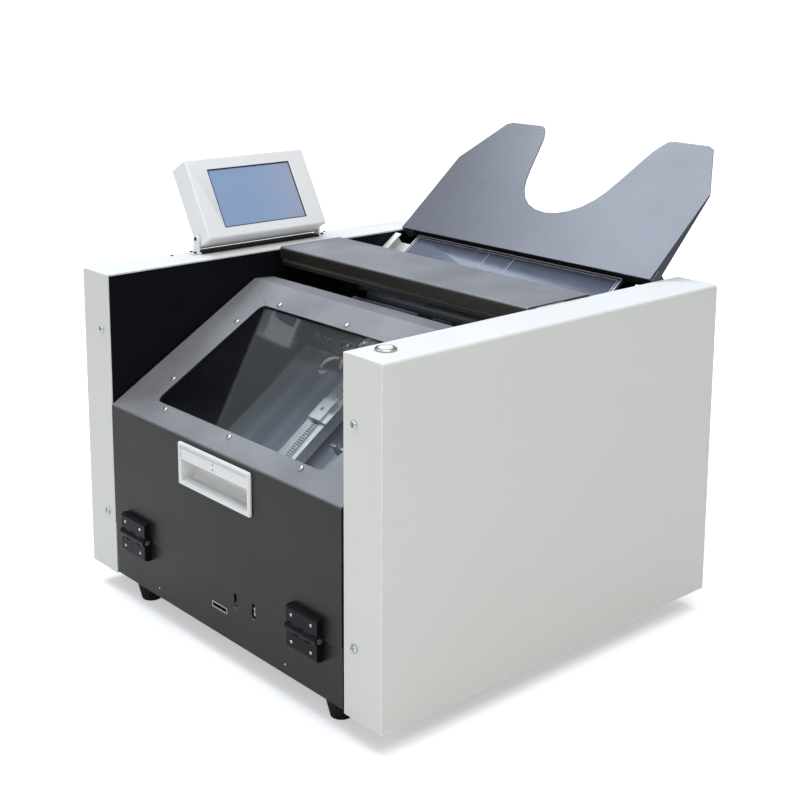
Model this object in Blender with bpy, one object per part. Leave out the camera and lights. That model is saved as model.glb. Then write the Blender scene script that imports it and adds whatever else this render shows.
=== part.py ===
"""Booklet maker: a counter-top machine that staples and folds a stack of sheets.

Two white side housings stand on a base pan. Between them lie a sloping paper deck with guide
rails, a perforated bar with its staple heads, a fold knife above two geared fold rollers, a
hinged front door with a window, a feed tray behind and a touch screen on the left housing.

Metres. The machine frame has X to the right from the middle, Y to the back from the
housings' front faces and Z up from the housings' lower edges.
"""
import math

import bmesh
import bpy
from mathutils import Matrix, Vector

for old in list(bpy.data.objects):
    bpy.data.objects.remove(old, do_unlink=True)

# Driving dimensions of the whole machine
HOUSING_H = 0.300
HOUSING_D = 0.4094
HOUSING_T = 0.0456
INNER_HALF = 0.176
FOOT_H = 0.021
DECK_FOOT_DROP = 0.003
DECK_FOOT_AHEAD = 0.0284
DECK_FOOT_Y = HOUSING_D - DECK_FOOT_AHEAD
DECK_FOOT_Z = HOUSING_H - DECK_FOOT_DROP
DECK_END_Y = 0.01238
DECK_END_Z = 0.03889
DECK_ANGLE = math.atan2(DECK_FOOT_Z - DECK_END_Z, DECK_FOOT_Y - DECK_END_Y)
DECK_LONG = math.hypot(DECK_FOOT_Z - DECK_END_Z, DECK_FOOT_Y - DECK_END_Y)
TRAY_ANGLE = math.radians(39.4)

# Sheet and clearances
SHEET = 0.0015
FRAME_T = 0.002
GAP = 0.0003
SIDE_GAP = 0.0004
OVERRUN = 0.004
LAP = 0.0005
FOLD_R = 0.0025

FRAME_IN = INNER_HALF + GAP
FRAME_OUT = FRAME_IN + FRAME_T
SPAN_HALF = FRAME_IN - SIDE_GAP
ROUND = 24
SMALL_ROUND = 16

FINISHES = {
    "white_paint": ((0.62, 0.62, 0.58), 0.38, 0.0),
    "grey_paint": ((0.28, 0.29, 0.32), 0.42, 0.3),
    "dark_paint": ((0.055, 0.055, 0.050), 0.45, 0.1),
    "black_paint": ((0.010, 0.010, 0.014), 0.40, 0.0),
    "silver_paint": ((0.36, 0.38, 0.43), 0.40, 0.6),
    "galvanised": ((0.42, 0.45, 0.50), 0.30, 1.0),
    "polished": ((0.68, 0.66, 0.60), 0.16, 1.0),
    "aluminium": ((0.66, 0.66, 0.65), 0.34, 1.0),
    "steel": ((0.50, 0.50, 0.50), 0.28, 1.0),
    "rubber": ((0.020, 0.020, 0.020), 0.80, 0.0),
    "clear_plastic": ((0.80, 0.86, 0.88), 0.06, 0.0),
    "white_plastic": ((0.72, 0.72, 0.69), 0.45, 0.0),
    "black_plastic": ((0.018, 0.018, 0.019), 0.42, 0.0),
    "screen_glass": ((0.26, 0.33, 0.52), 0.12, 0.0),
    "wire_sleeve": ((0.60, 0.57, 0.54), 0.55, 0.0),
}


def material(name, finish):
    colour, roughness, metallic = FINISHES[finish]
    made = bpy.data.materials.new(f"{finish}_{name}")
    made.use_nodes = True
    shader = made.node_tree.nodes["Principled BSDF"]
    shader.inputs["Base Color"].default_value = (*colour, 1)
    shader.inputs["Roughness"].default_value = roughness
    shader.inputs["Metallic"].default_value = metallic
    return made


def frame_empty(name, location, parent=None, about=None, angle=0):
    """A coordinate frame that pieces hang on, turned about X or Y."""
    empty = bpy.data.objects.new(name, None)
    bpy.context.scene.collection.objects.link(empty)
    empty.location = location
    if about is not None:
        empty.rotation_euler["XYZ".index(about)] = angle
    empty.parent = parent
    return empty


MACHINE = frame_empty("machine_frame", (0, 0, 0))
DECK = frame_empty("deck_frame", (0, DECK_FOOT_Y, DECK_FOOT_Z), MACHINE, "X", DECK_ANGLE)


def extrude(outline, low, high, plane="xy"):
    """A closed solid: an outline in one plane, pushed along the third axis."""
    place = {
        "xy": lambda a, b, c: (a, b, c),
        "xz": lambda a, b, c: (a, c, b),
        "yz": lambda a, b, c: (c, a, b),
    }[plane]
    bm = bmesh.new()
    rings = [[bm.verts.new(place(a, b, level)) for a, b in outline] for level in (low, high)]
    bm.faces.new(rings[0])
    bm.faces.new(reversed(rings[1]))
    count = len(outline)
    for i in range(count):
        j = (i + 1) % count
        bm.faces.new((rings[0][i], rings[1][i], rings[1][j], rings[0][j]))
    bmesh.ops.recalc_face_normals(bm, faces=bm.faces)
    return bm


def box(x, y, z):
    """A block from three (low, high) pairs."""
    corners = [(x[0], y[0]), (x[1], y[0]), (x[1], y[1]), (x[0], y[1])]
    return extrude(corners, z[0], z[1])


def around(middle, size):
    return (middle - size / 2, middle + size / 2)


def mirrored(pair, side):
    """A (low, high) pair on the right side (+1), or its mirror image on the left (-1)."""
    return tuple(sorted((side * pair[0], side * pair[1])))


def arc(centre, radius, start, end, steps):
    """Points along an arc; angles in degrees."""
    points = []
    for i in range(steps + 1):
        angle = math.radians(start + (end - start) * i / steps)
        points.append((centre[0] + radius * math.cos(angle), centre[1] + radius * math.sin(angle)))
    return points


def rounded(a, b, radius, steps=4):
    """A rectangle with round corners, from two (low, high) pairs."""
    outline = []
    outline += arc((a[1] - radius, b[1] - radius), radius, 0, 90, steps)
    outline += arc((a[0] + radius, b[1] - radius), radius, 90, 180, steps)
    outline += arc((a[0] + radius, b[0] + radius), radius, 180, 270, steps)
    outline += arc((a[1] - radius, b[0] + radius), radius, 270, 360, steps)
    return outline


def circle(centre, radius, count=ROUND):
    return arc(centre, radius, 0, 360, count)[:-1]


def folded(path, thickness, side, radius=FOLD_R, steps=3):
    """Section of a folded sheet. The path is one face of the sheet, with round folds; the other
    face lies one thickness to the left (side +1) or to the right (side -1) of the path."""
    points = [Vector(p) for p in path]
    face = []
    for i, point in enumerate(points):
        before = (point - points[i - 1]).normalized() if i else None
        after = (points[i + 1] - point).normalized() if i + 1 < len(points) else None
        if before is None or after is None:
            run = after if before is None else before
            face.append((point, Vector((-run.y, run.x)) * side))
            continue
        turn = before.angle_signed(after)
        hand = -1 if turn > 0 else 1
        reach = radius * math.tan(abs(turn) / 2)
        start = point - before * reach
        centre = start + Vector((-before.y, before.x)) * hand * radius
        arm = start - centre
        for k in range(steps + 1):
            swing = Matrix.Rotation(hand * abs(turn) * k / steps, 2) @ arm
            face.append((centre + swing, -swing.normalized() * hand * side))
    near = [tuple(p) for p, _ in face]
    far = [tuple(p + normal * thickness) for p, normal in face]
    return near + far[::-1]


def turned(profile, axis="z", count=ROUND, closed=False):
    """A turned solid from (radius, height) points; a closed profile leaves a bore."""
    bm = bmesh.new()
    rings = []
    for radius, height in profile:
        if radius == 0:
            rings.append([bm.verts.new((0, 0, height))])
            continue
        rings.append([bm.verts.new((a, b, height)) for a, b in circle((0, 0), radius, count)])
    pairs = list(zip(rings, rings[1:]))
    if closed:
        pairs.append((rings[-1], rings[0]))
    for low, high in pairs:
        for i in range(count):
            j = (i + 1) % count
            corners = [low[i % len(low)], low[j % len(low)], high[j % len(high)], high[i % len(high)]]
            bm.faces.new(list(dict.fromkeys(corners)))
    for ring in (rings[0], rings[-1]):
        if len(ring) > 1 and not closed:
            bm.faces.new(ring)
    bmesh.ops.recalc_face_normals(bm, faces=bm.faces)
    turn = {"z": Matrix(), "x": Matrix.Rotation(math.pi / 2, 4, "Y"),
            "y": Matrix.Rotation(-math.pi / 2, 4, "X")}[axis]
    bmesh.ops.transform(bm, matrix=turn, verts=bm.verts)
    return bm


def rod(radius, low, high, axis="z", count=ROUND):
    return turned([(radius, low), (radius, high)], axis, count)


def at(bm, location):
    bmesh.ops.translate(bm, vec=Vector(location), verts=bm.verts)
    return bm


def mesh_object(name, bm):
    mesh = bpy.data.meshes.new(name)
    bm.to_mesh(mesh)
    bm.free()
    made = bpy.data.objects.new(name, mesh)
    bpy.context.scene.collection.objects.link(made)
    return made


def combine(body, bm, operation):
    """Join a second solid to the body, or cut it away."""
    tool = mesh_object("tool", bm)
    modifier = body.modifiers.new("combine", "BOOLEAN")
    modifier.operation = operation
    modifier.solver = "EXACT"
    modifier.object = tool
    graph = bpy.context.evaluated_depsgraph_get()
    result = bpy.data.meshes.new_from_object(body.evaluated_get(graph))
    body.modifiers.remove(modifier)
    body.data = result
    bpy.data.objects.remove(tool, do_unlink=True)


def piece(name, finish, add, cut=(), parent=MACHINE, origin=(0, 0, 0), smooth=False):
    """One named sub-part: its solids joined, its cutters taken away, its origin placed."""
    body = mesh_object(name, add[0])
    for extra in add[1:]:
        combine(body, extra, "UNION")
    for tool in cut:
        combine(body, tool, "DIFFERENCE")
    body.data.name = name
    body.data.transform(Matrix.Translation(-Vector(origin)))
    body.location = origin
    body.parent = parent
    body.data.materials.clear()
    body.data.materials.append(material(name, finish))
    if smooth:
        body.data.shade_smooth()
        body.data.set_sharp_from_angle(angle=math.radians(35))
    return body


def side_name(side):
    return "right" if side > 0 else "left"


# Housings: folded side covers over black frame plates
COVER_EDGE_R = 0.003
RING_ASIDE = 0.017
RING_X = INNER_HALF + RING_ASIDE
RING_Y = 0.028
BUTTON_THREAD_R = 0.00785
WIRE_PASS_R = 0.0035
WIRE_PASS_S = 0.229
WIRE_PASS_N = 0.007


def deck_point(s, n):
    """Machine (Y, Z) of a point s down the deck slope and n above its plane."""
    return (DECK_FOOT_Y - s * math.cos(DECK_ANGLE) - n * math.sin(DECK_ANGLE),
            DECK_FOOT_Z - s * math.sin(DECK_ANGLE) + n * math.cos(DECK_ANGLE))


def side_cover(side):
    def section(inset, bottom, inner):
        outer = INNER_HALF + HOUSING_T - inset
        top = HOUSING_H - inset
        radius = COVER_EDGE_R - inset
        bend = arc((outer - radius, top - radius), radius, 0, 90, 4)
        corners = [(inner, bottom), (outer, bottom)] + bend + [(inner, top)]
        return [(side * x, z) for x, z in corners]

    shell = extrude(section(0, 0, INNER_HALF), 0, HOUSING_D, "xz")
    cuts = [extrude(section(SHEET, -OVERRUN, INNER_HALF - OVERRUN), SHEET, HOUSING_D - SHEET, "xz")]
    if side > 0:
        drill = rod(BUTTON_THREAD_R + GAP, HOUSING_H - SHEET - OVERRUN, HOUSING_H + OVERRUN)
        cuts.append(at(drill, (RING_X, RING_Y, 0)))
    piece(f"side_cover_{side_name(side)}", "white_paint", [shell], cuts)


def frame_plate(side):
    front, back = SHEET + GAP, HOUSING_D - SHEET - GAP
    plate = box(mirrored((FRAME_IN, FRAME_OUT), side), (front, back), (0, HOUSING_H - SHEET - GAP))
    reach = (FRAME_IN - OVERRUN, FRAME_OUT + OVERRUN)
    holes = [(ROLLER_UP_S, ROLLER_N, SHAFT_R + GAP), (ROLLER_LOW_S, ROLLER_N, SHAFT_R + GAP)]
    if side > 0:
        holes.append((WIRE_PASS_S, WIRE_PASS_N, WIRE_PASS_R))
    cuts = []
    for s, n, radius in holes:
        drill = rod(radius, *mirrored(reach, side), "x", SMALL_ROUND)
        cuts.append(at(drill, (0, *deck_point(s, n))))
    piece(f"frame_plate_{side_name(side)}", "black_paint", [plate], cuts)


# Base pan and feet
PAN_FLANGE = 0.016
PAN_AHEAD = 0.0037
PAN_BACK = HOUSING_D - PAN_AHEAD
FOOT_INSET = 0.029
FOOT_X = INNER_HALF - FOOT_INSET
FOOT_FRONT_Y = 0.021
FOOT_AHEAD = 0.0214
FOOT_BACK_Y = HOUSING_D - FOOT_AHEAD
FOOT_TOP_R = 0.014
FOOT_BOTTOM_R = 0.0095
FOOT_RIM = 0.003
FOOT_RECESS_R = 0.005
FOOT_RECESS_H = 0.010


def base_plate():
    front = SHEET + GAP
    path = [(front, PAN_FLANGE), (front, 0), (PAN_BACK, 0), (PAN_BACK, PAN_FLANGE)]
    piece("base_plate", "black_paint", [extrude(folded(path, FRAME_T, 1), -SPAN_HALF, SPAN_HALF, "yz")])


def feet():
    profile = [(0, FOOT_RECESS_H - FOOT_H), (FOOT_RECESS_R, FOOT_RECESS_H - FOOT_H),
               (FOOT_RECESS_R, -FOOT_H), (FOOT_BOTTOM_R, -FOOT_H),
               (FOOT_TOP_R, -FOOT_RIM), (FOOT_TOP_R, -GAP), (0, -GAP)]
    for side in (-1, 1):
        for place, y in (("front", FOOT_FRONT_Y), ("rear", FOOT_BACK_Y)):
            body = at(turned(profile, count=SMALL_ROUND), (side * FOOT_X, y, 0))
            piece(f"foot_{place}_{side_name(side)}", "rubber", [body], smooth=True)


# Front panel below the door
PANEL_SIDE_GAP = 0.002
PANEL_HALF = INNER_HALF - PANEL_SIDE_GAP
PANEL_LOW = 0.0025
PANEL_TOP = 0.054
PANEL_FLANGE = 0.012
PORT_X = (-0.011, 0.013)
PORT_Z = (0.025, 0.031)
SLOT_X = (0.024, 0.028)
SLOT_Z = (0.036, 0.050)
KEY_SLOT_X = (0.0505, 0.0555)
KEY_SLOT_Z = (0.035, 0.050)
PORT_EDGE = 0.004
PORT_DEPTH = 0.014
PORT_WALL = 0.001


def front_panel():
    inner = PANEL_HALF - SHEET
    outline = [(-PANEL_HALF, 0), (PANEL_HALF, 0), (PANEL_HALF, PANEL_FLANGE), (inner, PANEL_FLANGE),
               (inner, SHEET), (-inner, SHEET), (-inner, PANEL_FLANGE), (-PANEL_HALF, PANEL_FLANGE)]
    flange_low = PAN_FLANGE + GAP
    skin = box((-PANEL_HALF, PANEL_HALF), (0, SHEET), (PANEL_LOW, PANEL_TOP))
    returns = extrude(outline, flange_low, PANEL_TOP)
    through = (-OVERRUN, SHEET + OVERRUN)
    cuts = [box(PORT_X, through, PORT_Z)]
    for x, z in ((SLOT_X, SLOT_Z), (KEY_SLOT_X, KEY_SLOT_Z)):
        cuts.append(extrude(rounded(x, z, (x[1] - x[0]) / 2 - LAP / 2, 3), *through, "xz"))
    piece("front_panel", "dark_paint", [skin, returns], cuts)


def port_connector():
    x = (PORT_X[0] + GAP, PORT_X[1] - GAP)
    z = (PORT_Z[0] + GAP, PORT_Z[1] - GAP)
    back = SHEET + GAP
    flange = box((x[0] - PORT_EDGE, x[1] + PORT_EDGE), (back, back + SHEET),
                 (z[0] - PORT_EDGE, z[1] + PORT_EDGE))
    shell = box(x, (GAP, PORT_DEPTH), z)
    bore = box((x[0] + PORT_WALL, x[1] - PORT_WALL), (-OVERRUN, PORT_DEPTH - PORT_WALL),
               (z[0] + PORT_WALL, z[1] - PORT_WALL))
    piece("port_connector", "steel", [flange, shell], [bore])


# Rear panel with the exit slot and the power inlet
REAR_DROP = 0.010
REAR_TOP = HOUSING_H - REAR_DROP
REAR_FLANGE = 0.012
EXIT_MARGIN = 0.026
EXIT_HALF = INNER_HALF - EXIT_MARGIN
EXIT_Z = (0.104, 0.142)
INLET_MARGIN = 0.046
INLET_X = INLET_MARGIN - INNER_HALF
INLET_Z = 0.045
INLET_W = 0.028
INLET_H = 0.020
INLET_DEPTH = 0.022
INLET_FLANGE_W = 0.048
INLET_FLANGE_H = 0.025
INLET_FLANGE_T = 0.0025
INLET_WALL = 0.002
PIN_W = 0.002
PIN_H = 0.004
PIN_PITCH = 0.007
PIN_RISE = 0.003
PIN_LONG = 0.014


def rear_panel():
    inner_y = PAN_BACK + GAP
    outer_y = inner_y + SHEET
    path = [(outer_y, PANEL_LOW), (outer_y, REAR_TOP), (outer_y - REAR_FLANGE, REAR_TOP)]
    skin = extrude(folded(path, SHEET, 1), -PANEL_HALF, PANEL_HALF, "yz")
    through = (inner_y - OVERRUN, outer_y + OVERRUN)
    cuts = [box((-EXIT_HALF, EXIT_HALF), through, EXIT_Z),
            box(around(INLET_X, INLET_W), through, around(INLET_Z, INLET_H))]
    piece("rear_panel", "black_paint", [skin], cuts)


def power_inlet():
    face = PAN_BACK + GAP + SHEET + GAP
    tip = face + INLET_FLANGE_T
    flange = box(around(INLET_X, INLET_FLANGE_W), (face, tip), around(INLET_Z, INLET_FLANGE_H))
    width, height = INLET_W - GAP - GAP, INLET_H - GAP - GAP
    body = box(around(INLET_X, width), (tip - INLET_DEPTH, face + LAP), around(INLET_Z, height))
    wall = INLET_WALL + INLET_WALL
    floor_y = tip - INLET_DEPTH + INLET_WALL
    bore = box(around(INLET_X, width - wall), (floor_y, tip + OVERRUN), around(INLET_Z, height - wall))
    ready = piece("power_inlet", "black_plastic", [flange, body], [bore])
    for step in (-1, 0, 1):
        rise = PIN_RISE if step == 0 else -PIN_RISE / 2
        pin = box(around(INLET_X + step * PIN_PITCH, PIN_W), (floor_y - LAP, floor_y + PIN_LONG),
                  around(INLET_Z + rise, PIN_H))
        combine(ready, pin, "UNION")


# Top cover over the knife, and the strip below its lip
COVER_AHEAD = 0.1254
COVER_DEEP = 0.081
COVER_Y = (HOUSING_D - COVER_AHEAD - COVER_DEEP, HOUSING_D - COVER_AHEAD)
COVER_RISE = 0.002
COVER_LIP_H = 0.0124
COVER_TOP = HOUSING_H + COVER_RISE
COVER_LIP = COVER_TOP - COVER_LIP_H
STRIP_BACK = 0.002
STRIP_Y = COVER_Y[0] + STRIP_BACK
STRIP_DROP = 0.0014
STRIP_H = 0.0057
STRIP_TOP = COVER_LIP - STRIP_DROP
STRIP_FLANGE = 0.016


def top_cover():
    path = [(COVER_Y[0], COVER_LIP), (COVER_Y[0], COVER_TOP), (COVER_Y[1], COVER_TOP),
            (COVER_Y[1], COVER_LIP)]
    piece("top_cover", "grey_paint", [extrude(folded(path, SHEET, -1), -SPAN_HALF, SPAN_HALF, "yz")])


def cross_strip():
    path = [(STRIP_Y, STRIP_TOP - STRIP_H), (STRIP_Y, STRIP_TOP), (STRIP_Y + STRIP_FLANGE, STRIP_TOP)]
    piece("cross_strip", "grey_paint", [extrude(folded(path, SHEET, -1), -SPAN_HALF, SPAN_HALF, "yz")])


# Paper deck: four galvanised plates; s runs down the slope from the tray's foot
DECK_START = 0.105
DECK_FOLD = 0.010
FOLD_START = 0.200
DECK_MARGIN = 0.009
OUTER_X = (0.064, INNER_HALF - DECK_MARGIN)
INNER_X = (0.012, 0.040)
CROSS_UP_S = (0.170, 0.190)
CROSS_UP_N = (-0.020, -0.0018)
CROSS_LOW_INSET = (0.028, 0.012)
CROSS_LOW_S = (DECK_LONG - CROSS_LOW_INSET[0], DECK_LONG - CROSS_LOW_INSET[1])
CROSS_LOW_N = (-0.0223, -0.0103)
RAIL_X = 0.047
ANVIL_W = 0.012
ANVIL_RECESS = 0.0006


def deck_plate(name, span, side):
    """A flat plate whose long edges are folded down from FOLD_START to the lower end."""
    low, high = span
    outline = [(low, 0), (high, 0), (high, -DECK_FOLD), (high - SHEET, -DECK_FOLD),
               (high - SHEET, -SHEET), (low + SHEET, -SHEET), (low + SHEET, -DECK_FOLD),
               (low, -DECK_FOLD)]
    channel = extrude([(side * x, n) for x, n in outline], -DECK_LONG, -DECK_START, "xz")
    trim = box(mirrored((low - OVERRUN, high + OVERRUN), side),
               (-FOLD_START, OVERRUN - DECK_START), (-DECK_FOLD - OVERRUN, -SHEET))
    piece(f"{name}_{side_name(side)}", "galvanised", [channel], [trim], DECK)


def crossmember(s, n):
    """An open channel across the machine, with its web up."""
    outline = [(-s[1], n[0]), (-s[1], n[1]), (-s[0], n[1]), (-s[0], n[0]), (-s[0] - FRAME_T, n[0]),
               (-s[0] - FRAME_T, n[1] - FRAME_T), (-s[1] + FRAME_T, n[1] - FRAME_T),
               (-s[1] + FRAME_T, n[0])]
    return extrude(outline, -SPAN_HALF, SPAN_HALF, "yz")


def crossmembers():
    y = (-CROSS_UP_S[1] + FRAME_T, -CROSS_UP_S[0] - FRAME_T)
    n = (CROSS_UP_N[1] - FRAME_T / 2, -ANVIL_RECESS)
    anvils = [box(around(side * RAIL_X, ANVIL_W), y, n) for side in (-1, 1)]
    piece("anvil_crossmember", "steel", [crossmember(CROSS_UP_S, CROSS_UP_N)] + anvils, parent=DECK)
    piece("lower_crossmember", "black_paint", [crossmember(CROSS_LOW_S, CROSS_LOW_N)], parent=DECK)


# Guide rails with their clips, staple heads and the perforated bar
RAIL_W = 0.0265
RAIL_N = (0.004, 0.0165)
RAIL_START = 0.2003
RAIL_INSET = 0.010
RAIL_S = (RAIL_START, DECK_LONG - RAIL_INSET)
T_SLOT_W = 0.0064
T_LIP = 0.0022
T_WIDE = 0.013
T_DEEP = 0.0075
RAIL_FOOT_W = 0.012
CLIP_S = (0.246, 0.272)
CLIP_W = 0.018
CLIP_T = 0.005
CLIP_TAB = 0.008
HEAD_S = (0.167, 0.200)
HEAD_W = 0.025
HEAD_DRIVER_W = 0.014
HEAD_DRIVER_N = 0.0025
BAR_S = 0.180
BAR_W = 0.029
BAR_N = (0.0170, 0.0190)
BAR_TAB = 0.014
BIG_HOLE_R = 0.0042
SMALL_HOLE_R = 0.0022
HOLE_PITCH = 0.0225
GROUP_X = (0.085, 0.127)
EXTRA_HOLE_X = 0.066
EXTRA_HOLE_DOWN = 0.008
KNOB_R = 0.012
KNOB_SHANK_R = 0.006
KNOB_N = (0.0223, 0.0325)
KNOB_EDGE = 0.001


def guide_rail(side):
    half, low, high = RAIL_W / 2, *RAIL_N
    lip, wide = T_SLOT_W / 2, T_WIDE / 2
    floor = high - T_DEEP
    right = [(half, low), (half, high), (lip, high), (lip, high - T_LIP), (wide, high - T_LIP), (wide, floor)]
    outline = right + [(-x, n) for x, n in reversed(right)]
    rail = extrude([(side * RAIL_X + x, n) for x, n in outline], -RAIL_S[1], -RAIL_S[0], "xz")
    stand = box(around(side * RAIL_X, RAIL_FOOT_W),
                (-CROSS_LOW_S[1], -CROSS_LOW_S[0]), (CROSS_LOW_N[1] + GAP, low + LAP))
    piece(f"guide_rail_{side_name(side)}", "aluminium", [rail, stand], parent=DECK)


def rail_clip(side):
    y = (-CLIP_S[1], -CLIP_S[0])
    low = RAIL_N[1] + GAP
    cap = box(around(side * RAIL_X, CLIP_W), y, (low, low + CLIP_T))
    key = box(around(side * RAIL_X, T_SLOT_W - GAP - GAP), y, (RAIL_N[1] - T_LIP, low + LAP))
    tab_x = (RAIL_X + CLIP_W / 2 - LAP, RAIL_X + CLIP_W / 2 + CLIP_TAB)
    shift = side * RAIL_X - RAIL_X
    tab = box((tab_x[0] + shift, tab_x[1] + shift), (y[0], sum(y) / 2), (low, low + CLIP_T / 2))
    hole = at(rod(SMALL_HOLE_R, low + CLIP_T / 2, low + CLIP_T + OVERRUN, count=SMALL_ROUND),
              (side * RAIL_X, sum(y) / 2, 0))
    piece(f"rail_clip_{side_name(side)}", "white_plastic", [cap, key, tab], [hole], DECK)


def staple_head(side):
    """The head hangs below the bar and holds the rail's upper end; its driver faces the anvil."""
    y = (-HEAD_S[1], -HEAD_S[0])
    body = box(around(side * RAIL_X, HEAD_W), y, (RAIL_N[0], BAR_N[0] - GAP))
    inner = (y[0] + FRAME_T, y[1] - FRAME_T)
    driver = box(around(side * RAIL_X, HEAD_DRIVER_W), inner, (HEAD_DRIVER_N, RAIL_N[0] + LAP))
    notch = box(around(side * RAIL_X, HEAD_DRIVER_W), (y[0] - OVERRUN, y[0] + FRAME_T),
                (RAIL_N[0] + T_LIP, RAIL_N[1] - T_LIP))
    piece(f"staple_head_{side_name(side)}", "steel", [body, driver], [notch], DECK)


def perforated_bar():
    path = [(-SPAN_HALF, BAR_N[1] - BAR_TAB), (-SPAN_HALF, BAR_N[1]), (SPAN_HALF, BAR_N[1]),
            (SPAN_HALF, BAR_N[1] - BAR_TAB)]
    y = around(-BAR_S, BAR_W)
    strap = extrude(folded(path, BAR_N[1] - BAR_N[0], -1, FOLD_R), *y, "xz")
    holes = []
    for side in (-1, 1):
        for group in GROUP_X:
            holes += [(side * group + shift * HOLE_PITCH / 2, 0, BIG_HOLE_R) for shift in (-1, 1)]
            holes.append((side * group, 0, SMALL_HOLE_R))
        holes.append((side * EXTRA_HOLE_X, -EXTRA_HOLE_DOWN, SMALL_HOLE_R))
    cuts = []
    for x, down, radius in holes:
        drill = rod(radius, BAR_N[0] - OVERRUN, BAR_N[1] + OVERRUN, count=SMALL_ROUND)
        cuts.append(at(drill, (x, down - BAR_S, 0)))
    piece("perforated_bar", "polished", [strap], cuts, DECK)


def clamp_knob(side):
    """A thumb screw that clamps the bar to the staple head."""
    profile = [(0, BAR_N[1] + GAP), (KNOB_SHANK_R, BAR_N[1] + GAP), (KNOB_SHANK_R, KNOB_N[0]),
               (KNOB_R - KNOB_EDGE, KNOB_N[0]), (KNOB_R, KNOB_N[0] + KNOB_EDGE),
               (KNOB_R, KNOB_N[1] - KNOB_EDGE), (KNOB_R - KNOB_EDGE, KNOB_N[1]), (0, KNOB_N[1])]
    place = (side * RAIL_X, -BAR_S, 0)
    piece(f"clamp_knob_{side_name(side)}", "polished", [at(turned(profile), place)], parent=DECK,
          origin=(place[0], place[1], BAR_N[1]), smooth=True)


# Wire harness held along the bar, from a loop beside the left rail to the right frame plate
WIRE_R = 0.0018
LOOP_X = -0.088
LOOP_S = 0.209
LOOP_N = 0.021
LOOP_R = 0.0115
WIRE_BEND = 0.014
WIRE_OUT = 0.0057
WIRE_ROUTE = [
    (-0.074, 0.1985, 0.0206), (-0.058, 0.1970, 0.0205), (-0.030, 0.1962, 0.0205),
    (0.000, 0.1962, 0.0205), (0.040, 0.1962, 0.0205), (0.062, 0.1975, 0.0205),
    (0.090, 0.204, 0.0170), (0.120, 0.213, 0.0120), (0.146, 0.225, 0.0080),
    (INNER_HALF - WIRE_BEND, WIRE_PASS_S, WIRE_PASS_N), (FRAME_OUT + WIRE_OUT, WIRE_PASS_S, WIRE_PASS_N),
]
WIRE_STEP = 0.006
LOOP_COUNT = 14
LOOP_START = -60
LOOP_SWEEP = -285
LOOP_RISE = -0.0004


def smooth_route(points, step):
    """Points along a Catmull-Rom curve through the route's own points."""
    route = [Vector(p) for p in points]
    padded = [route[0] * 2 - route[1]] + route + [route[-1] * 2 - route[-2]]
    result = []
    for a, b, c, d in zip(padded, padded[1:], padded[2:], padded[3:]):
        count = max(1, round((c - b).length / step))
        for k in range(count):
            t = k / count
            result.append(((b * 2) + (c - a) * t + (a * 2 - b * 5 + c * 4 - d) * t * t
                           + (b * 3 - a - c * 3 + d) * t ** 3) / 2)
    result.append(route[-1])
    return result


def wire_harness():
    turns = []
    for k in range(LOOP_COUNT + 1):
        angle = math.radians(LOOP_START + LOOP_SWEEP * k / LOOP_COUNT)
        rise = LOOP_RISE * k / LOOP_COUNT
        turns.append((LOOP_X + LOOP_R * math.cos(angle), LOOP_S - LOOP_R * math.sin(angle), LOOP_N + rise))
    points = smooth_route([(x, -s, n) for x, s, n in turns + WIRE_ROUTE], WIRE_STEP)
    curve = bpy.data.curves.new("wire_harness", "CURVE")
    curve.dimensions = "3D"
    curve.bevel_depth = WIRE_R
    curve.bevel_resolution = 2
    curve.use_fill_caps = True
    spline = curve.splines.new("POLY")
    spline.points.add(len(points) - 1)
    for target, point in zip(spline.points, points):
        target.co = (*point, 1)
    made = bpy.data.objects.new("wire_harness", curve)
    bpy.context.scene.collection.objects.link(made)
    made.parent = DECK
    curve.materials.append(material("wire_harness", "wire_sleeve"))


# Fold knife above the deck and two geared fold rollers below it
ROLLER_UP_S = 0.0847
ROLLER_LOW_S = 0.1133
ROLLER_N = -0.022
ROLLER_R = 0.014
ROLLER_MARGIN = 0.011
ROLLER_HALF = INNER_HALF - ROLLER_MARGIN
SHAFT_R = 0.005
SHAFT_LEFT = 0.0003
NIP_S = (ROLLER_UP_S + ROLLER_LOW_S) / 2
KNIFE_T = 0.001
KNIFE_MARGIN = 0.016
KNIFE_HALF = INNER_HALF - KNIFE_MARGIN
KNIFE_TIP_N = 0.006
KNIFE_TIP_T = 0.0004
KNIFE_TAPER = 0.003
CARRIER_N = (0.031, 0.043)
CARRIER_W = 0.012
CARRIER_NECK = 0.004
GUIDE_HALF = 0.013
GUIDE_N = (0.008, 0.048)
GUIDE_DEEP = 0.008
GUIDE_BACK = 0.0025
CARRIER_HALF = FRAME_IN - GAP - GUIDE_BACK - GAP
GEAR_TEETH = 19
GEAR_MODULE = 0.0015
GEAR_ASIDE = 0.0037
GEAR_W = 0.010
GEAR_X = (FRAME_OUT + GEAR_ASIDE, FRAME_OUT + GEAR_ASIDE + GEAR_W)
GEAR_BACKLASH = 0.00012
GEAR_HUB_R = 0.009
GEAR_HUB_W = 0.003
PRESSURE_ANGLE = math.radians(20)
MOTOR_R = 0.0185
MOTOR_LONG = 0.032
MOTOR_HEAD_R = 0.015
MOTOR_HEAD = 0.008


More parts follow.
